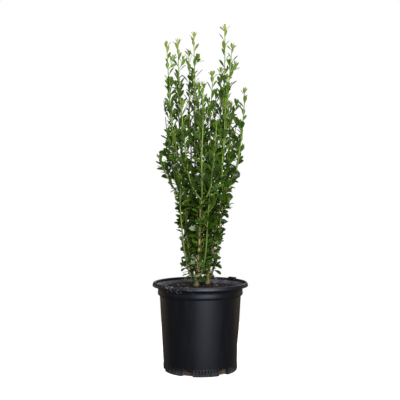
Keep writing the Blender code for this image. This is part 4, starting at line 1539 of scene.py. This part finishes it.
class Spaces:
    """The crown shared out among its shoots: each has the space nearest to its stem."""

    SAMPLE = 2.5 * MM
    REACH = 117.0 * MM
    MIDDLE = (4.0 * MM, 2.0 * MM)  # of the crown; its X changes with height by the girth
    GIRTH = (  # height, the crown's middle there along X, and how far foliage may reach from it
        (211.0, 0.0, 56.0), (270.0, 1.0, 53.0), (300.0, 1.0, 54.0), (325.0, 3.0, 58.0),
        (350.0, 8.0, 74.0), (425.0, 9.0, 78.0), (450.0, 6.0, 86.0), (475.0, 2.0, 100.0),
        (500.0, -2.0, 112.0), (545.0, -4.0, 116.0), (565.0, -2.0, 112.0), (590.0, 10.0, 104.0),
        (618.0, 16.0, 105.0), (643.0, 15.0, 107.0), (860.0, 13.0, 107.0),
    )
    FOOT = 211.0 * MM
    TOP = 858.0 * MM

    def __init__(self, skeleton: Skeleton) -> None:
        """Samples the lines of all limbs.

        Args:
            skeleton: The lines.
        """
        self.names = list(skeleton.shoots)
        lines = [resampled(axis, self.SAMPLE) for axis in skeleton.shoots.values()]
        lines += [resampled(axis, self.SAMPLE) for axis in skeleton.wood.values()]
        self.points = np.array([tuple(point) for line in lines for point in line.points])
        self.radii = np.array([radius for line in lines for radius in line.radii])
        self.starts = np.cumsum([0] + [len(line.points) for line in lines[:-1]])

    def holds(self, name: str | None, places: list[Vector], over: float, clear: float) -> bool:
        """Tells whether points lie in a shoot's own space, clear of every other limb.

        Args:
            name: The shoot, or None for what grows on a bough.
            places: The points.
            over: How far past the border of its space a point may be.
            clear: How far from other limbs' surfaces it has to be.

        Returns:
            Whether all of them do.
        """
        points = np.array([tuple(place) for place in places])
        if np.abs(points[:, :2]).max() > self.REACH:
            return False
        if points[:, 2].min() < self.FOOT or points[:, 2].max() > self.TOP:
            return False
        heights, middles, reaches = (np.array(column) * MM for column in zip(*self.GIRTH))
        middle = np.interp(points[:, 2], heights, middles)
        reach = np.interp(points[:, 2], heights, reaches)
        if (np.hypot(points[:, 0] - middle, points[:, 1] - self.MIDDLE[1]) > reach).any():
            return False
        distances = np.sqrt(((points[:, None, :] - self.points[None]) ** 2).sum(axis=2))
        depths = np.minimum.reduceat(distances - self.radii, self.starts, axis=1)
        if name is None:
            return bool((depths > clear).all())
        nearest = np.minimum.reduceat(distances, self.starts, axis=1)
        own = self.names.index(name)
        rest = np.delete(nearest[:, : len(self.names)], own, axis=1).min(axis=1)
        if (nearest[:, own] > rest + 2.0 * over).any():
            return False
        return bool((np.delete(depths, own, axis=1) > clear).all())


@dataclass(frozen=True)
class Leaf:
    """One leaf: its root, the way it points, its upper side, its sizes and its age."""

    root: Vector
    along: Vector
    up: Vector
    length: float
    width: float
    arch: float
    age: Age

    def spine(self, part: float) -> tuple[Vector, Vector]:
        """Returns the point of its midrib at a part of its length, and its upper side there.

        Args:
            part: The part of the length, from 0 to 1.

        Returns:
            The point, and the direction of the upper side.
        """
        bend = max(self.arch, 0.01)
        turned = bend * part
        place = self.root + (
            self.along * math.sin(turned) - self.up * (1.0 - math.cos(turned))
        ) * (self.length / bend)
        return place, self.up * math.cos(turned) + self.along * math.sin(turned)

    def across(self) -> Vector:
        """Returns the direction from one edge to the other."""
        return self.along.cross(self.up).normalized()

    def outline(self) -> list[Vector]:
        """Returns points over the leaf, past its stalk.

        Returns:
            The points.
        """
        points = [self.spine(part)[0] for part in (0.35, 0.6, 0.8, 1.0)]
        half = self.across() * self.width / 2.0
        for part in (0.5, 0.7, 0.88):
            place, _ = self.spine(part)
            points += [place + half, place - half]
        return points


STATIONS = (  # part of the length, and half the width there over the greatest
    (0.0, 0.11), (0.11, 0.14), (0.28, 0.50), (0.46, 0.84), (0.63, 1.00), (0.80, 0.88),
    (0.93, 0.52),
)
CUP = 0.16  # how far the edges stand over the midrib, over half the width
LEAF_THICKNESS = 0.45 * MM


def leaf_faces() -> tuple[list[tuple[int, ...]], list[int]]:
    """Returns the faces of a leaf and the material slot of each.

    Returns:
        The faces and the slots.
    """
    faces: list[tuple[int, ...]] = [(0, 3, 2, 1)]
    slots = [1]
    for ring in range(len(STATIONS) - 1):
        left, middle, right, under = (ring * 4 + corner for corner in range(4))
        faces += [(left, middle, middle + 4, left + 4), (middle, right, right + 4, middle + 4)]
        faces += [(left, left + 4, under + 4, under), (right, under, under + 4, right + 4)]
        slots += [0, 0, 1, 1]
    left, middle, right, under = ((len(STATIONS) - 1) * 4 + corner for corner in range(4))
    tip = under + 1
    faces += [(left, middle, tip), (middle, right, tip), (left, tip, under), (right, under, tip)]
    return faces, slots + [0, 0, 1, 1]


def leaf_vertices(leaf: Leaf) -> np.ndarray:
    """Returns the vertices of a leaf: edges, midrib and underside at each station.

    Args:
        leaf: The leaf.

    Returns:
        The vertices, one a row.
    """
    across = leaf.across()
    vertices = []
    for part, share in STATIONS:
        place, up = leaf.spine(part)
        half = share * leaf.width / 2.0
        edge = up * half * CUP
        vertices += [place - across * half + edge, place, place + across * half + edge]
        vertices.append(place - up * LEAF_THICKNESS)
    vertices.append(leaf.spine(1.0)[0])
    return np.array([tuple(vertex) for vertex in vertices])


@dataclass(frozen=True)
class TwigKind:
    """How one kind of side twig is set along its shoot.

    Attributes:
        first: Where the first may stand, from the shoot's foot.
        last: How far below the shoot's tip the last may stand.
        lengths: Range of its length, in millimetres.
        joint: How many of its points near the shoot may lie in it.
        over: How far it may pass the border of its shoot's space.
        clear: How far it stays from other limbs.
        gaps: Range of the added distance to the next, in millimetres.
        retry: How much further up the next place is tried.
    """

    first: float
    last: float
    lengths: tuple[float, float]
    joint: int
    over: float
    clear: float
    gaps: tuple[float, float]
    retry: float


@dataclass(frozen=True)
class Rosette:
    """The tuft of small leaves round a growing tip.

    Attributes:
        count: Number of its leaves.
        lengths: Range of the first leaf's length, in millimetres.
        shrink: How much shorter each next one is, over the first.
        opening: Angle between the first one and the shoot, in degrees.
        closing: How much less it is for each next one.
        stray: How far that angle strays.
        below: How far below the tip the first one stands, in millimetres.
        rise: How much higher each next one stands.
        arch: How far they bend.
        from_tip: Distance from the tip that they count as, for their age.
        apart: Distance between the middles of two of them.
    """

    count: int = 6
    lengths: tuple[float, float] = (17.0, 20.0)
    shrink: float = 0.08
    opening: float = 50.0
    closing: float = 8.5
    stray: float = 5.0
    below: float = 10.0
    rise: float = 1.8
    arch: float = 0.15
    from_tip: float = 12.0 * MM
    apart: float = 1.0 * MM


@dataclass
class Foliage:
    """All shoots with their side twigs and leaves, grown by a seeded rule.

    Where a field gives two sizes, one is for the crown's foot and one for its top, in the
    order told.

    Attributes:
        skeleton: The lines of the limbs.
        spacing: Distance between leaves along a shoot, low and high in the crown.
        thinning: Share of the crown's height from which they stand further apart, and the
            share over which they come to do so.
        lengths: Heights and the length of a leaf there, in millimetres.
        slenderness: Width over length, low and high in the crown.
        openings: Angle between a leaf and its stem at the top, and how much wider it is low
            down, in degrees.
        strays: How far that angle strays at the top, and how much further low down.
        arches: How far a leaf bends down at the top, and how much further low down.
        roll: How far a leaf is rolled about its length low down, in radians.
        tip_reach: Length below a tip in which leaves are smaller and stand closer.
        leaf_last: How far below a tip the last leaf of the spiral stands.
        retry: How much further up a leaf is tried after one that found no room.
        wooden: Distance from the tip that a bough's leaves count as, for their age.
        ages: Years, in millimetres below a tip, up to which a leaf has each of the first ages.
        darkening: Years from which it may have the last one.
        darkest: Heights in millimetres and the share of such leaves there that have.
        over: How far a leaf may pass the border of its shoot's space.
        clear: How far a leaf stays from other limbs.
        apart: Distance between the middles of two leaves of one shoot.
        shares: Sizes that are tried in turn where a leaf has little room, over the full one.
        bare_side: Share of the leaves that an old stem has lost on the crown's outer side.
        bare_from: Distance below the tip from which it has.
        crown: Heights of the crown's foot and top.
        kinds: The long side twigs of the rule, and the finer ones between them.
        spurs: The short twigs on stems and boughs.
        twig_steps: Stretches of a twig's line.
        twig_radii: Its radius at the foot, and how much less it is at the tip, in millimetres.
        bare: Length without leaves at the foot of a limb, of a side twig and of a spur.
        closer: Distance between leaves over the usual one, on side twigs and on wood.
        knuckle: How far a green stem swells where a leaf leaves it.
        knuckle_reach: Its reach along the stem.
        rosette: The leaves round a tip.
        twigs: The side twigs and spurs, once grown.
        leaves: The leaves, once grown.
    """

    skeleton: Skeleton
    spacing: tuple[float, float] = (5.8 * MM, 13.0 * MM)
    thinning: tuple[float, float] = (0.38, 0.42)
    lengths: tuple[tuple[float, float], ...] = (
        (215.0, 24.0), (320.0, 27.0), (365.0, 34.0), (500.0, 33.0), (620.0, 30.5), (780.0, 26.5),
    )
    slenderness: tuple[float, float] = (0.41, 0.325)
    openings: tuple[float, float] = (33.0, 56.0)
    strays: tuple[float, float] = (9.0, 12.0)
    arches: tuple[float, float] = (12.0, 36.0)
    roll: float = 1.0
    tip_reach: float = 60.0 * MM
    leaf_last: float = 7.0 * MM
    retry: float = 2.5 * MM
    wooden: float = 250.0 * MM
    ages: tuple[float, ...] = (26.0, 52.0, 92.0)
    darkening: float = 155.0
    darkest: tuple[tuple[float, float], ...] = (
        (268.0, 0.70), (332.0, 0.52), (395.0, 0.22), (459.0, 0.62), (523.0, 0.60), (586.0, 0.88),
        (650.0, 0.97),
    )
    over: float = 4.0 * MM
    clear: float = 0.5 * MM
    apart: float = 5.0 * MM
    shares: tuple[float, ...] = (1.0, 0.72)
    bare_side: float = 0.85
    bare_from: float = 95.0 * MM
    crown: tuple[float, float] = (215.0 * MM, 855.0 * MM)
    kinds: tuple[TwigKind, ...] = (
        TwigKind(
            40.0 * MM, 90.0 * MM, (42.0, 66.0), 1, -0.7 * MM, 1.3 * MM, (70.0, 110.0), 14.0 * MM
        ),
        TwigKind(
            30.0 * MM, 60.0 * MM, (18.0, 34.0), 2, 1.0 * MM, 1.0 * MM, (30.0, 60.0), 9.0 * MM
        ),
    )
    spurs: TwigKind = TwigKind(
        10.0 * MM, 30.0 * MM, (16.0, 34.0), 3, 0.0, 1.0 * MM, (7.0, 13.0), 0.0
    )
    twig_steps: int = 6
    twig_radii: tuple[float, float] = (1.1, 0.5)
    bare: tuple[float, float, float] = (7.0 * MM, 6.0 * MM, 4.0 * MM)
    closer: tuple[float, float] = (0.85, 0.8)
    knuckle: float = 0.32 * MM
    knuckle_reach: float = 1.6 * MM
    rosette: Rosette = Rosette()
    twigs: list[Axis] = field(default_factory=list)
    leaves: list[Leaf] = field(default_factory=list)

    def height_share(self, height: float) -> float:
        """Returns a height as a share of the crown's, from 0 to 1."""
        low, high = self.crown
        return min(max((height - low) / (high - low), 0.0), 1.0)

    @staticmethod
    def sideways(along: Vector, azimuth: float) -> Vector:
        """Returns the direction square to a line that points towards an azimuth."""
        flat = Vector((math.cos(azimuth), math.sin(azimuth), 0.0))
        return (flat - along * flat.dot(along)).normalized()

    def twig(self, parent: Axis, distance: float, azimuth: float, length: float) -> Axis:
        """Works out a side twig that leaves its shoot and turns up beside it.

        Args:
            parent: The line of its shoot.
            distance: How far along the shoot it leaves it.
            azimuth: The way that it points, seen from above.
            length: Its length.

        Returns:
            The twig's line.
        """
        start, along, _ = parent.along(distance)
        outwards = self.sideways(along, azimuth)
        points, radii = [], []
        for step in range(self.twig_steps + 1):
            part = step / self.twig_steps
            out = length * 0.42 * (1.0 - (1.0 - part) ** 2)
            points.append(start + along * length * 0.9 * part + outwards * out)
            radii.append((self.twig_radii[0] - self.twig_radii[1] * part) * MM)
        return Axis(points, radii)

    def grow_twigs(self, name: str, axis: Axis, spaces: Spaces) -> list[Axis]:
        """Grows a shoot's side twigs, one kind after the other.

        Args:
            name: The shoot.
            axis: Its line.
            spaces: The crown's spaces.

        Returns:
            The twigs' lines.
        """
        dice = random.Random(f"{SEED} {name}")
        total = axis.length()
        twigs = []
        azimuth = dice.uniform(0.0, 2.0 * math.pi)
        for kind in self.kinds:
            distance = kind.first
            while distance < total - kind.last:
                twig = self.twig(axis, distance, azimuth, dice.uniform(*kind.lengths) * MM)
                if spaces.holds(name, twig.points[kind.joint :], kind.over, kind.clear):
                    twigs.append(twig)
                    distance += dice.uniform(*kind.gaps) * MM
                distance += kind.retry
                azimuth += GOLDEN
        return twigs

    def shed(
        self, place: Vector, along: Vector, azimuth: float, from_tip: float, dice: random.Random
    ) -> bool:
        """Tells whether an old upright stem has lost a leaf on the crown's outer side.

        Args:
            place: Where the leaf would be.
            along: The stem's direction there.
            azimuth: The way that the leaf would point.
            from_tip: Its distance from the tip.
            dice: The seeded dice.

        Returns:
            Whether it is lost.
        """
        out = Vector((place.x - Spaces.MIDDLE[0], place.y - Spaces.MIDDLE[1]))
        facing = out.x * math.cos(azimuth) + out.y * math.sin(azimuth)
        facing /= max(out.length, 1.0 * MM)
        old = from_tip > self.bare_from and out.length > 20.0 * MM
        upright = min(max((along.z - 0.9) / 0.08, 0.0), 1.0)
        lost = self.bare_side * (0.65 + 0.35 * self.height_share(place.z)) * upright
        return old and facing > 0.62 and dice.random() < lost

    def age(self, from_tip: float, share: float, dice: random.Random) -> Age:
        """Tells a leaf's age from its distance to the shoot's tip and its height's share.

        Args:
            from_tip: The distance.
            share: Its height as a share of the crown's.
            dice: The seeded dice.

        Returns:
            The age.
        """
        years = from_tip / MM * dice.uniform(0.7, 1.35) + (1.0 - share) * 160.0
        for age, last in zip(Age, self.ages):
            if years < last:
                return age
        height = self.crown[0] + share * (self.crown[1] - self.crown[0])
        dark = float(np.interp(height / MM, *zip(*self.darkest)))
        old = years > self.darkening * dice.uniform(0.75, 1.25) and dice.random() < dark
        return Age.DEEP if old else Age.MATURE

    def leaf(
        self, axis: Axis, distance: float, azimuth: float, length: float, opening: float,
        arch: float, age: Age, dice: random.Random,
    ) -> Leaf:
        """Places a leaf on a shoot or twig.

        Args:
            axis: The line that carries it.
            distance: How far along the line it grows.
            azimuth: The way that it points, seen from above.
            length: Its length.
            opening: The angle between it and the line.
            arch: How far it bends down from its root to its tip.
            age: Its age.
            dice: The seeded dice.

        Returns:
            The leaf.
        """
        place, along, radius = axis.along(distance)
        share = self.height_share(place.z)
        outwards = self.sideways(along, azimuth)
        start = max(opening - arch / 3.0, 0.08)
        direction = along * math.cos(start) + outwards * math.sin(start)
        up = along * math.sin(start) - outwards * math.cos(start)
        roll = self.roll - 0.6 * share
        up = Matrix.Rotation(dice.uniform(-roll, roll), 3, direction) @ up
        low, high = self.slenderness
        width = length * (low + (high - low) * share) * dice.uniform(0.88, 1.12)
        return Leaf(place + outwards * radius * 0.4, direction, up, length, width, arch, age)

    def leaves_on(
        self, name: str | None, axis: Axis, bare: float, spaces: Spaces, kept: list[Leaf],
        dice: random.Random, closer: float = 1.0, older: float = 0.0,
    ) -> None:
        """Sets leaves in a spiral up a line, and a tuft of small ones at its tip.

        Args:
            name: The shoot that they belong to, or None on a bough.
            axis: The line.
            bare: Length without leaves at its foot.
            spaces: The crown's spaces.
            kept: The leaves so far, which new ones are added to.
            dice: The seeded dice.
            closer: Distance between leaves over the usual one.
            older: How much further from a tip its leaves count as, for their age.
        """
        total = axis.length()
        azimuth = dice.uniform(0.0, 2.0 * math.pi)
        distance = bare
        while distance < total - self.leaf_last:
            place, along, _ = axis.along(distance)
            share = self.height_share(place.z)
            near_tip = 1.0 if name is None else min((total - distance) / self.tip_reach, 1.0)
            full = float(np.interp(place.z / MM, *zip(*self.lengths))) * MM
            length = full * dice.uniform(0.84, 1.15) * (0.70 + 0.30 * near_tip)
            opening = self.openings[0] + self.openings[1] * (1.0 - share) ** 2
            stray = self.strays[0] + self.strays[1] * (1.0 - share)
            opening *= 0.75 + 0.25 * near_tip
            opening = math.radians(opening + dice.uniform(-stray, stray))
            arch = self.arches[0] + self.arches[1] * (1.0 - share) ** 1.5
            arch = math.radians(arch + dice.uniform(-6.0, 10.0)) * (0.4 + 0.6 * near_tip)
            age = self.age(self.wooden if name is None else total - distance + older, share, dice)
            leaf = self.leaf(axis, distance, azimuth, length, opening, arch, age, dice)
            lost = self.shed(place, along, azimuth, total - distance + older, dice)
            azimuth += GOLDEN + dice.uniform(-0.2, 0.2)
            tries = (
                replace(leaf, length=leaf.length * part, width=leaf.width * part)
                for part in self.shares
            )
            if not lost and any(self.fits(name, leaf, spaces, kept, self.apart) for leaf in tries):
                high = min(max((share - self.thinning[0]) / self.thinning[1], 0.0), 1.0)
                gap = self.spacing[0] + (self.spacing[1] - self.spacing[0]) * high
                distance += gap * closer * dice.uniform(0.85, 1.15) * (0.65 + 0.35 * near_tip)
            else:
                distance += self.retry
        if name is not None:
            self.tip_leaves(name, axis, azimuth, spaces, kept, dice, older)

    def tip_leaves(
        self, name: str, axis: Axis, azimuth: float, spaces: Spaces, kept: list[Leaf],
        dice: random.Random, older: float,
    ) -> None:
        """Sets the rosette of small leaves round a tip, as leaves_on() asks.

        Args:
            name: The shoot that they belong to.
            axis: The line.
            azimuth: The way that the first one points.
            spaces: The crown's spaces.
            kept: The leaves so far, which new ones are added to.
            dice: The seeded dice.
            older: How much further from a tip they count as, for their age.
        """
        rosette, total = self.rosette, axis.length()
        for turn in range(rosette.count):
            length = dice.uniform(*rosette.lengths) * MM * (1.0 - rosette.shrink * turn)
            opening = rosette.opening - rosette.closing * turn
            opening = math.radians(opening + dice.uniform(-rosette.stray, rosette.stray))
            place = total - (rosette.below - rosette.rise * turn) * MM
            age = self.age(rosette.from_tip + older, self.height_share(axis.points[-1].z), dice)
            leaf = self.leaf(axis, place, azimuth, length, opening, rosette.arch, age, dice)
            azimuth += GOLDEN
            self.fits(name, leaf, spaces, kept, rosette.apart)

    def fits(
        self, name: str | None, leaf: Leaf, spaces: Spaces, kept: list[Leaf], apart: float
    ) -> bool:
        """Keeps a leaf if it stays in its space and off the shoot's other leaves.

        Args:
            name: The shoot, or None on a bough.
            leaf: The leaf.
            spaces: The crown's spaces.
            kept: The leaves so far, which it is added to.
            apart: The least distance between the middles of two leaves.

        Returns:
            Whether it was kept.
        """
        middle = leaf.spine(0.6)[0]
        if any((other.spine(0.6)[0] - middle).length < apart for other in kept):
            return False
        if not spaces.holds(name, leaf.outline(), self.over, self.clear):
            return False
        kept.append(leaf)
        return True

    def grow_shoot(self, name: str, axis: Axis, spaces: Spaces) -> None:
        """Grows the side twigs and the leaves of one shoot.

        Args:
            name: The shoot.
            axis: Its line.
            spaces: The crown's spaces.
        """
        twigs = self.grow_twigs(name, axis, spaces)
        kept: list[Leaf] = []
        dice = random.Random(f"{SEED} {name} leaves")
        self.leaves_on(name, axis, self.bare[0], spaces, kept, dice)
        for twig in twigs:
            older = 0.6 * (axis.length() - (twig.points[0] - axis.points[0]).length)
            self.leaves_on(name, twig, self.bare[1], spaces, kept, dice, self.closer[0], older)
        self.twigs += twigs
        self.leaves += kept

    def grow_spurs(self, name: str, axis: Axis, spaces: Spaces) -> None:
        """Grows the few leaves on a stem or bough, and its short leafy spurs.

        Args:
            name: The stem or bough.
            axis: Its line.
            spaces: The crown's spaces.
        """
        kept: list[Leaf] = []
        dice = random.Random(f"{SEED} {name} leaves")
        self.leaves_on(None, axis, self.bare[0], spaces, kept, dice, self.closer[1])
        kind, distance = self.spurs, self.spurs.first
        while distance < axis.length() - kind.last:
            azimuth = dice.uniform(0.0, 2.0 * math.pi)
            spur = self.twig(axis, distance, azimuth, dice.uniform(*kind.lengths) * MM)
            if spaces.holds(None, spur.points[kind.joint :], kind.over, kind.clear):
                self.twigs.append(spur)
                self.leaves_on(None, spur, self.bare[2], spaces, kept, dice, self.closer[1])
            distance += dice.uniform(*kind.gaps) * MM + kind.retry
        self.leaves += kept

    def grow(self) -> None:
        """Grows the twigs and leaves of every shoot, stem and bough."""
        spaces = Spaces(self.skeleton)
        for name, axis in self.skeleton.shoots.items():
            self.grow_shoot(name, axis, spaces)
        for name, axis in self.skeleton.wood.items():
            self.grow_spurs(name, axis, spaces)
        LOG.info("%d leaves, %d side twigs", len(self.leaves), len(self.twigs))

    def knuckles(self, place: Vector, angle: float, distance: float) -> float:
        """Returns how far a green stem swells where a leaf leaves it.

        Args:
            place: The place on the stem; not used.
            angle: The angle round it.
            distance: The distance along it.

        Returns:
            How far it stands out.
        """
        part = distance / self.spacing[1]
        turn = math.floor(part)
        near = (part - turn - 0.5) * self.spacing[1] / self.knuckle_reach
        facing = math.cos(angle - turn * GOLDEN)
        return self.knuckle * math.exp(-near * near) * max(facing, 0.0)

    def build(self) -> None:
        """Makes the pieces: green stems, and the leaves of each age."""
        nodes = list(self.skeleton.shoots)
        heights = (
            (212.0, "#727A3C"), (330.0, "#74893A"), (440.0, "#7C983C"), (560.0, "#8EAA48"),
            (680.0, "#A0BC56"), (850.0, "#B0CA6A"),
        )
        rind = Rind("holly_stem_green", heights, "#6E7A3C", 0.45, 2.2, 0.5, 0.25).make()
        stems, fine = Gathered(), Gathered()
        for line in self.skeleton.shoots.values():
            axis = resampled(rooted(line, 1.5 * line.radii[0]), 2.4 * MM)
            stems.add(*tube(axis, 7, self.knuckles))
        for twig in self.twigs:
            fine.add(*tube(twig, 5, lambda place, angle, distance: 0.0))
        dress(stems.make("green_shoots", [rind], 60.0), nodes)
        dress(fine.make("green_twigs", [rind], 70.0), nodes)
        faces, slots = leaf_faces()
        for age in Age:
            gathered = Gathered()
            for leaf in self.leaves:
                if leaf.age is age:
                    gathered.add(leaf_vertices(leaf), faces, slots)
            skins = [finish.make() for finish in age.finishes()]
            dress(gathered.make(f"leaves_{age.value[0]}", skins, 60.0), nodes)


# --- studio ---


@dataclass(frozen=True)
class Softbox:
    """A soft rectangular light.

    Attributes:
        name: Its name.
        place: Where it hangs.
        aim: Height of the point over the middle of the floor that it faces.
        size: Its width and height.
        power: Its power in watts.
        colour: Its colour.
    """

    name: str
    place: tuple[float, float, float]
    aim: float
    size: tuple[float, float]
    power: float
    colour: str = "#FFFFFF"

    def hang(self) -> None:
        """Hangs the light."""
        light = bpy.data.lights.new(self.name, "AREA")
        light.shape = "RECTANGLE"
        light.size, light.size_y = self.size
        light.energy = self.power
        light.color = srgb(self.colour)[:3]
        thing = bpy.data.objects.new(self.name, light)
        thing.location = self.place
        way = Vector((0.0, 0.0, self.aim)) - Vector(self.place)
        thing.rotation_euler = way.to_track_quat("-Z", "Y").to_euler()
        bpy.context.scene.collection.objects.link(thing)


@dataclass
class Studio:
    """A plain pale floor, soft light and the camera.

    Attributes:
        eye: Where the camera stands.
        pitch: How far it looks down, in degrees.
        lens: Focal length in millimetres on a 36 mm sensor.
        floor_radius: Radius of the floor.
        floor_glow: How much the floor shines of its own, so that it looks as pale as the sky.
        skylight: Strength of the sky as a light, and as the camera sees it.
        lights: The lights.
    """

    eye: tuple[float, float, float] = (-0.0007, -2.0, 0.461)
    pitch: float = 1.2
    lens: float = 73.0
    floor_radius: float = 0.7
    floor_glow: float = 0.9
    skylight: tuple[float, float] = (0.10, 1.0)
    lights: tuple[Softbox, ...] = (
        Softbox("front", (0.56, -1.95, 0.75), 0.4, (1.4, 1.9), 46.0),
        Softbox("edge", (-1.5, 1.35, 0.1), 0.15, (0.4, 0.9), 1.6, "#FFD2A0"),
        Softbox("edge", (1.5, 1.35, 0.1), 0.15, (0.4, 0.9), 1.6, "#FFD2A0"),
        Softbox("left", (-1.9, -0.7, 1.3), 0.5, (0.7, 1.2), 6.0),
        Softbox("top", (0.1, -0.2, 2.4), 0.4, (1.5, 1.5), 26.0),
        Softbox("back", (0.6, 2.2, 1.3), 0.5, (1.0, 1.4), 8.0),
    )

    def lay_floor(self) -> None:
        """Lays the floor, just under the pot."""
        deselect_all()
        bpy.ops.mesh.primitive_circle_add(
            vertices=96, radius=self.floor_radius, fill_type="NGON", location=(0.0, 0.0, -0.3 * MM)
        )
        floor = bpy.context.object
        floor.name = "floor"
        material, _, shader = new_material("painted_board_white")
        shader.inputs["Base Color"].default_value = srgb("#F4F4F4")
        shader.inputs["Roughness"].default_value = 0.9
        shader.inputs["Emission Color"].default_value = srgb("#FFFFFF")
        shader.inputs["Emission Strength"].default_value = self.floor_glow
        floor.data.materials.append(material)
        floor.visible_diffuse = floor.visible_glossy = False

    def paint_sky(self) -> None:
        """Makes a white sky that the camera sees brighter than it shines."""
        world = bpy.data.worlds.new("studio")
        bpy.context.scene.world = world
        world.use_nodes = True
        tree = world.node_tree
        sky = tree.nodes["Background"]
        sky.inputs["Color"].default_value = srgb("#FFFFFF")
        seen = add_node(tree, "ShaderNodeLightPath").outputs["Is Camera Ray"]
        dim, bright = self.skylight
        strength = add_node(
            tree, "ShaderNodeMapRange", {"Value": seen}, {"To Min": dim, "To Max": bright}
        ).outputs[0]
        tree.links.new(strength, sky.inputs["Strength"])

    def place_camera(self) -> None:
        """Places the camera in front of the plant."""
        camera = bpy.data.cameras.new("camera")
        camera.lens = self.lens
        camera.sensor_width = 36.0
        camera.dof.use_dof = False
        thing = bpy.data.objects.new("camera", camera)
        thing.location = self.eye
        thing.rotation_euler = (math.radians(90.0 - self.pitch), 0.0, 0.0)
        bpy.context.scene.collection.objects.link(thing)
        bpy.context.scene.camera = thing

    def build(self) -> None:
        """Sets up the floor, the sky, the lights and the camera."""
        bpy.context.scene.view_settings.view_transform = "Standard"
        self.lay_floor()
        self.paint_sky()
        for light in self.lights:
            light.hang()
        self.place_camera()


def main() -> None:
    """Builds the pieces in order."""
    logging.basicConfig(level=logging.INFO, format="%(message)s")
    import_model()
    skeleton = Skeleton()
    skeleton.build()
    NurseryPot().build()
    mix = PottingMix()
    mix.build_ground()
    mix.build_chips([Vector((*stem.foot, 0.0)) * MM for stem in STEMS])
    Wood().build(skeleton)
    foliage = Foliage(skeleton)
    foliage.grow()
    foliage.build()
    Studio().build()


if __name__ == "__main__":
    main()
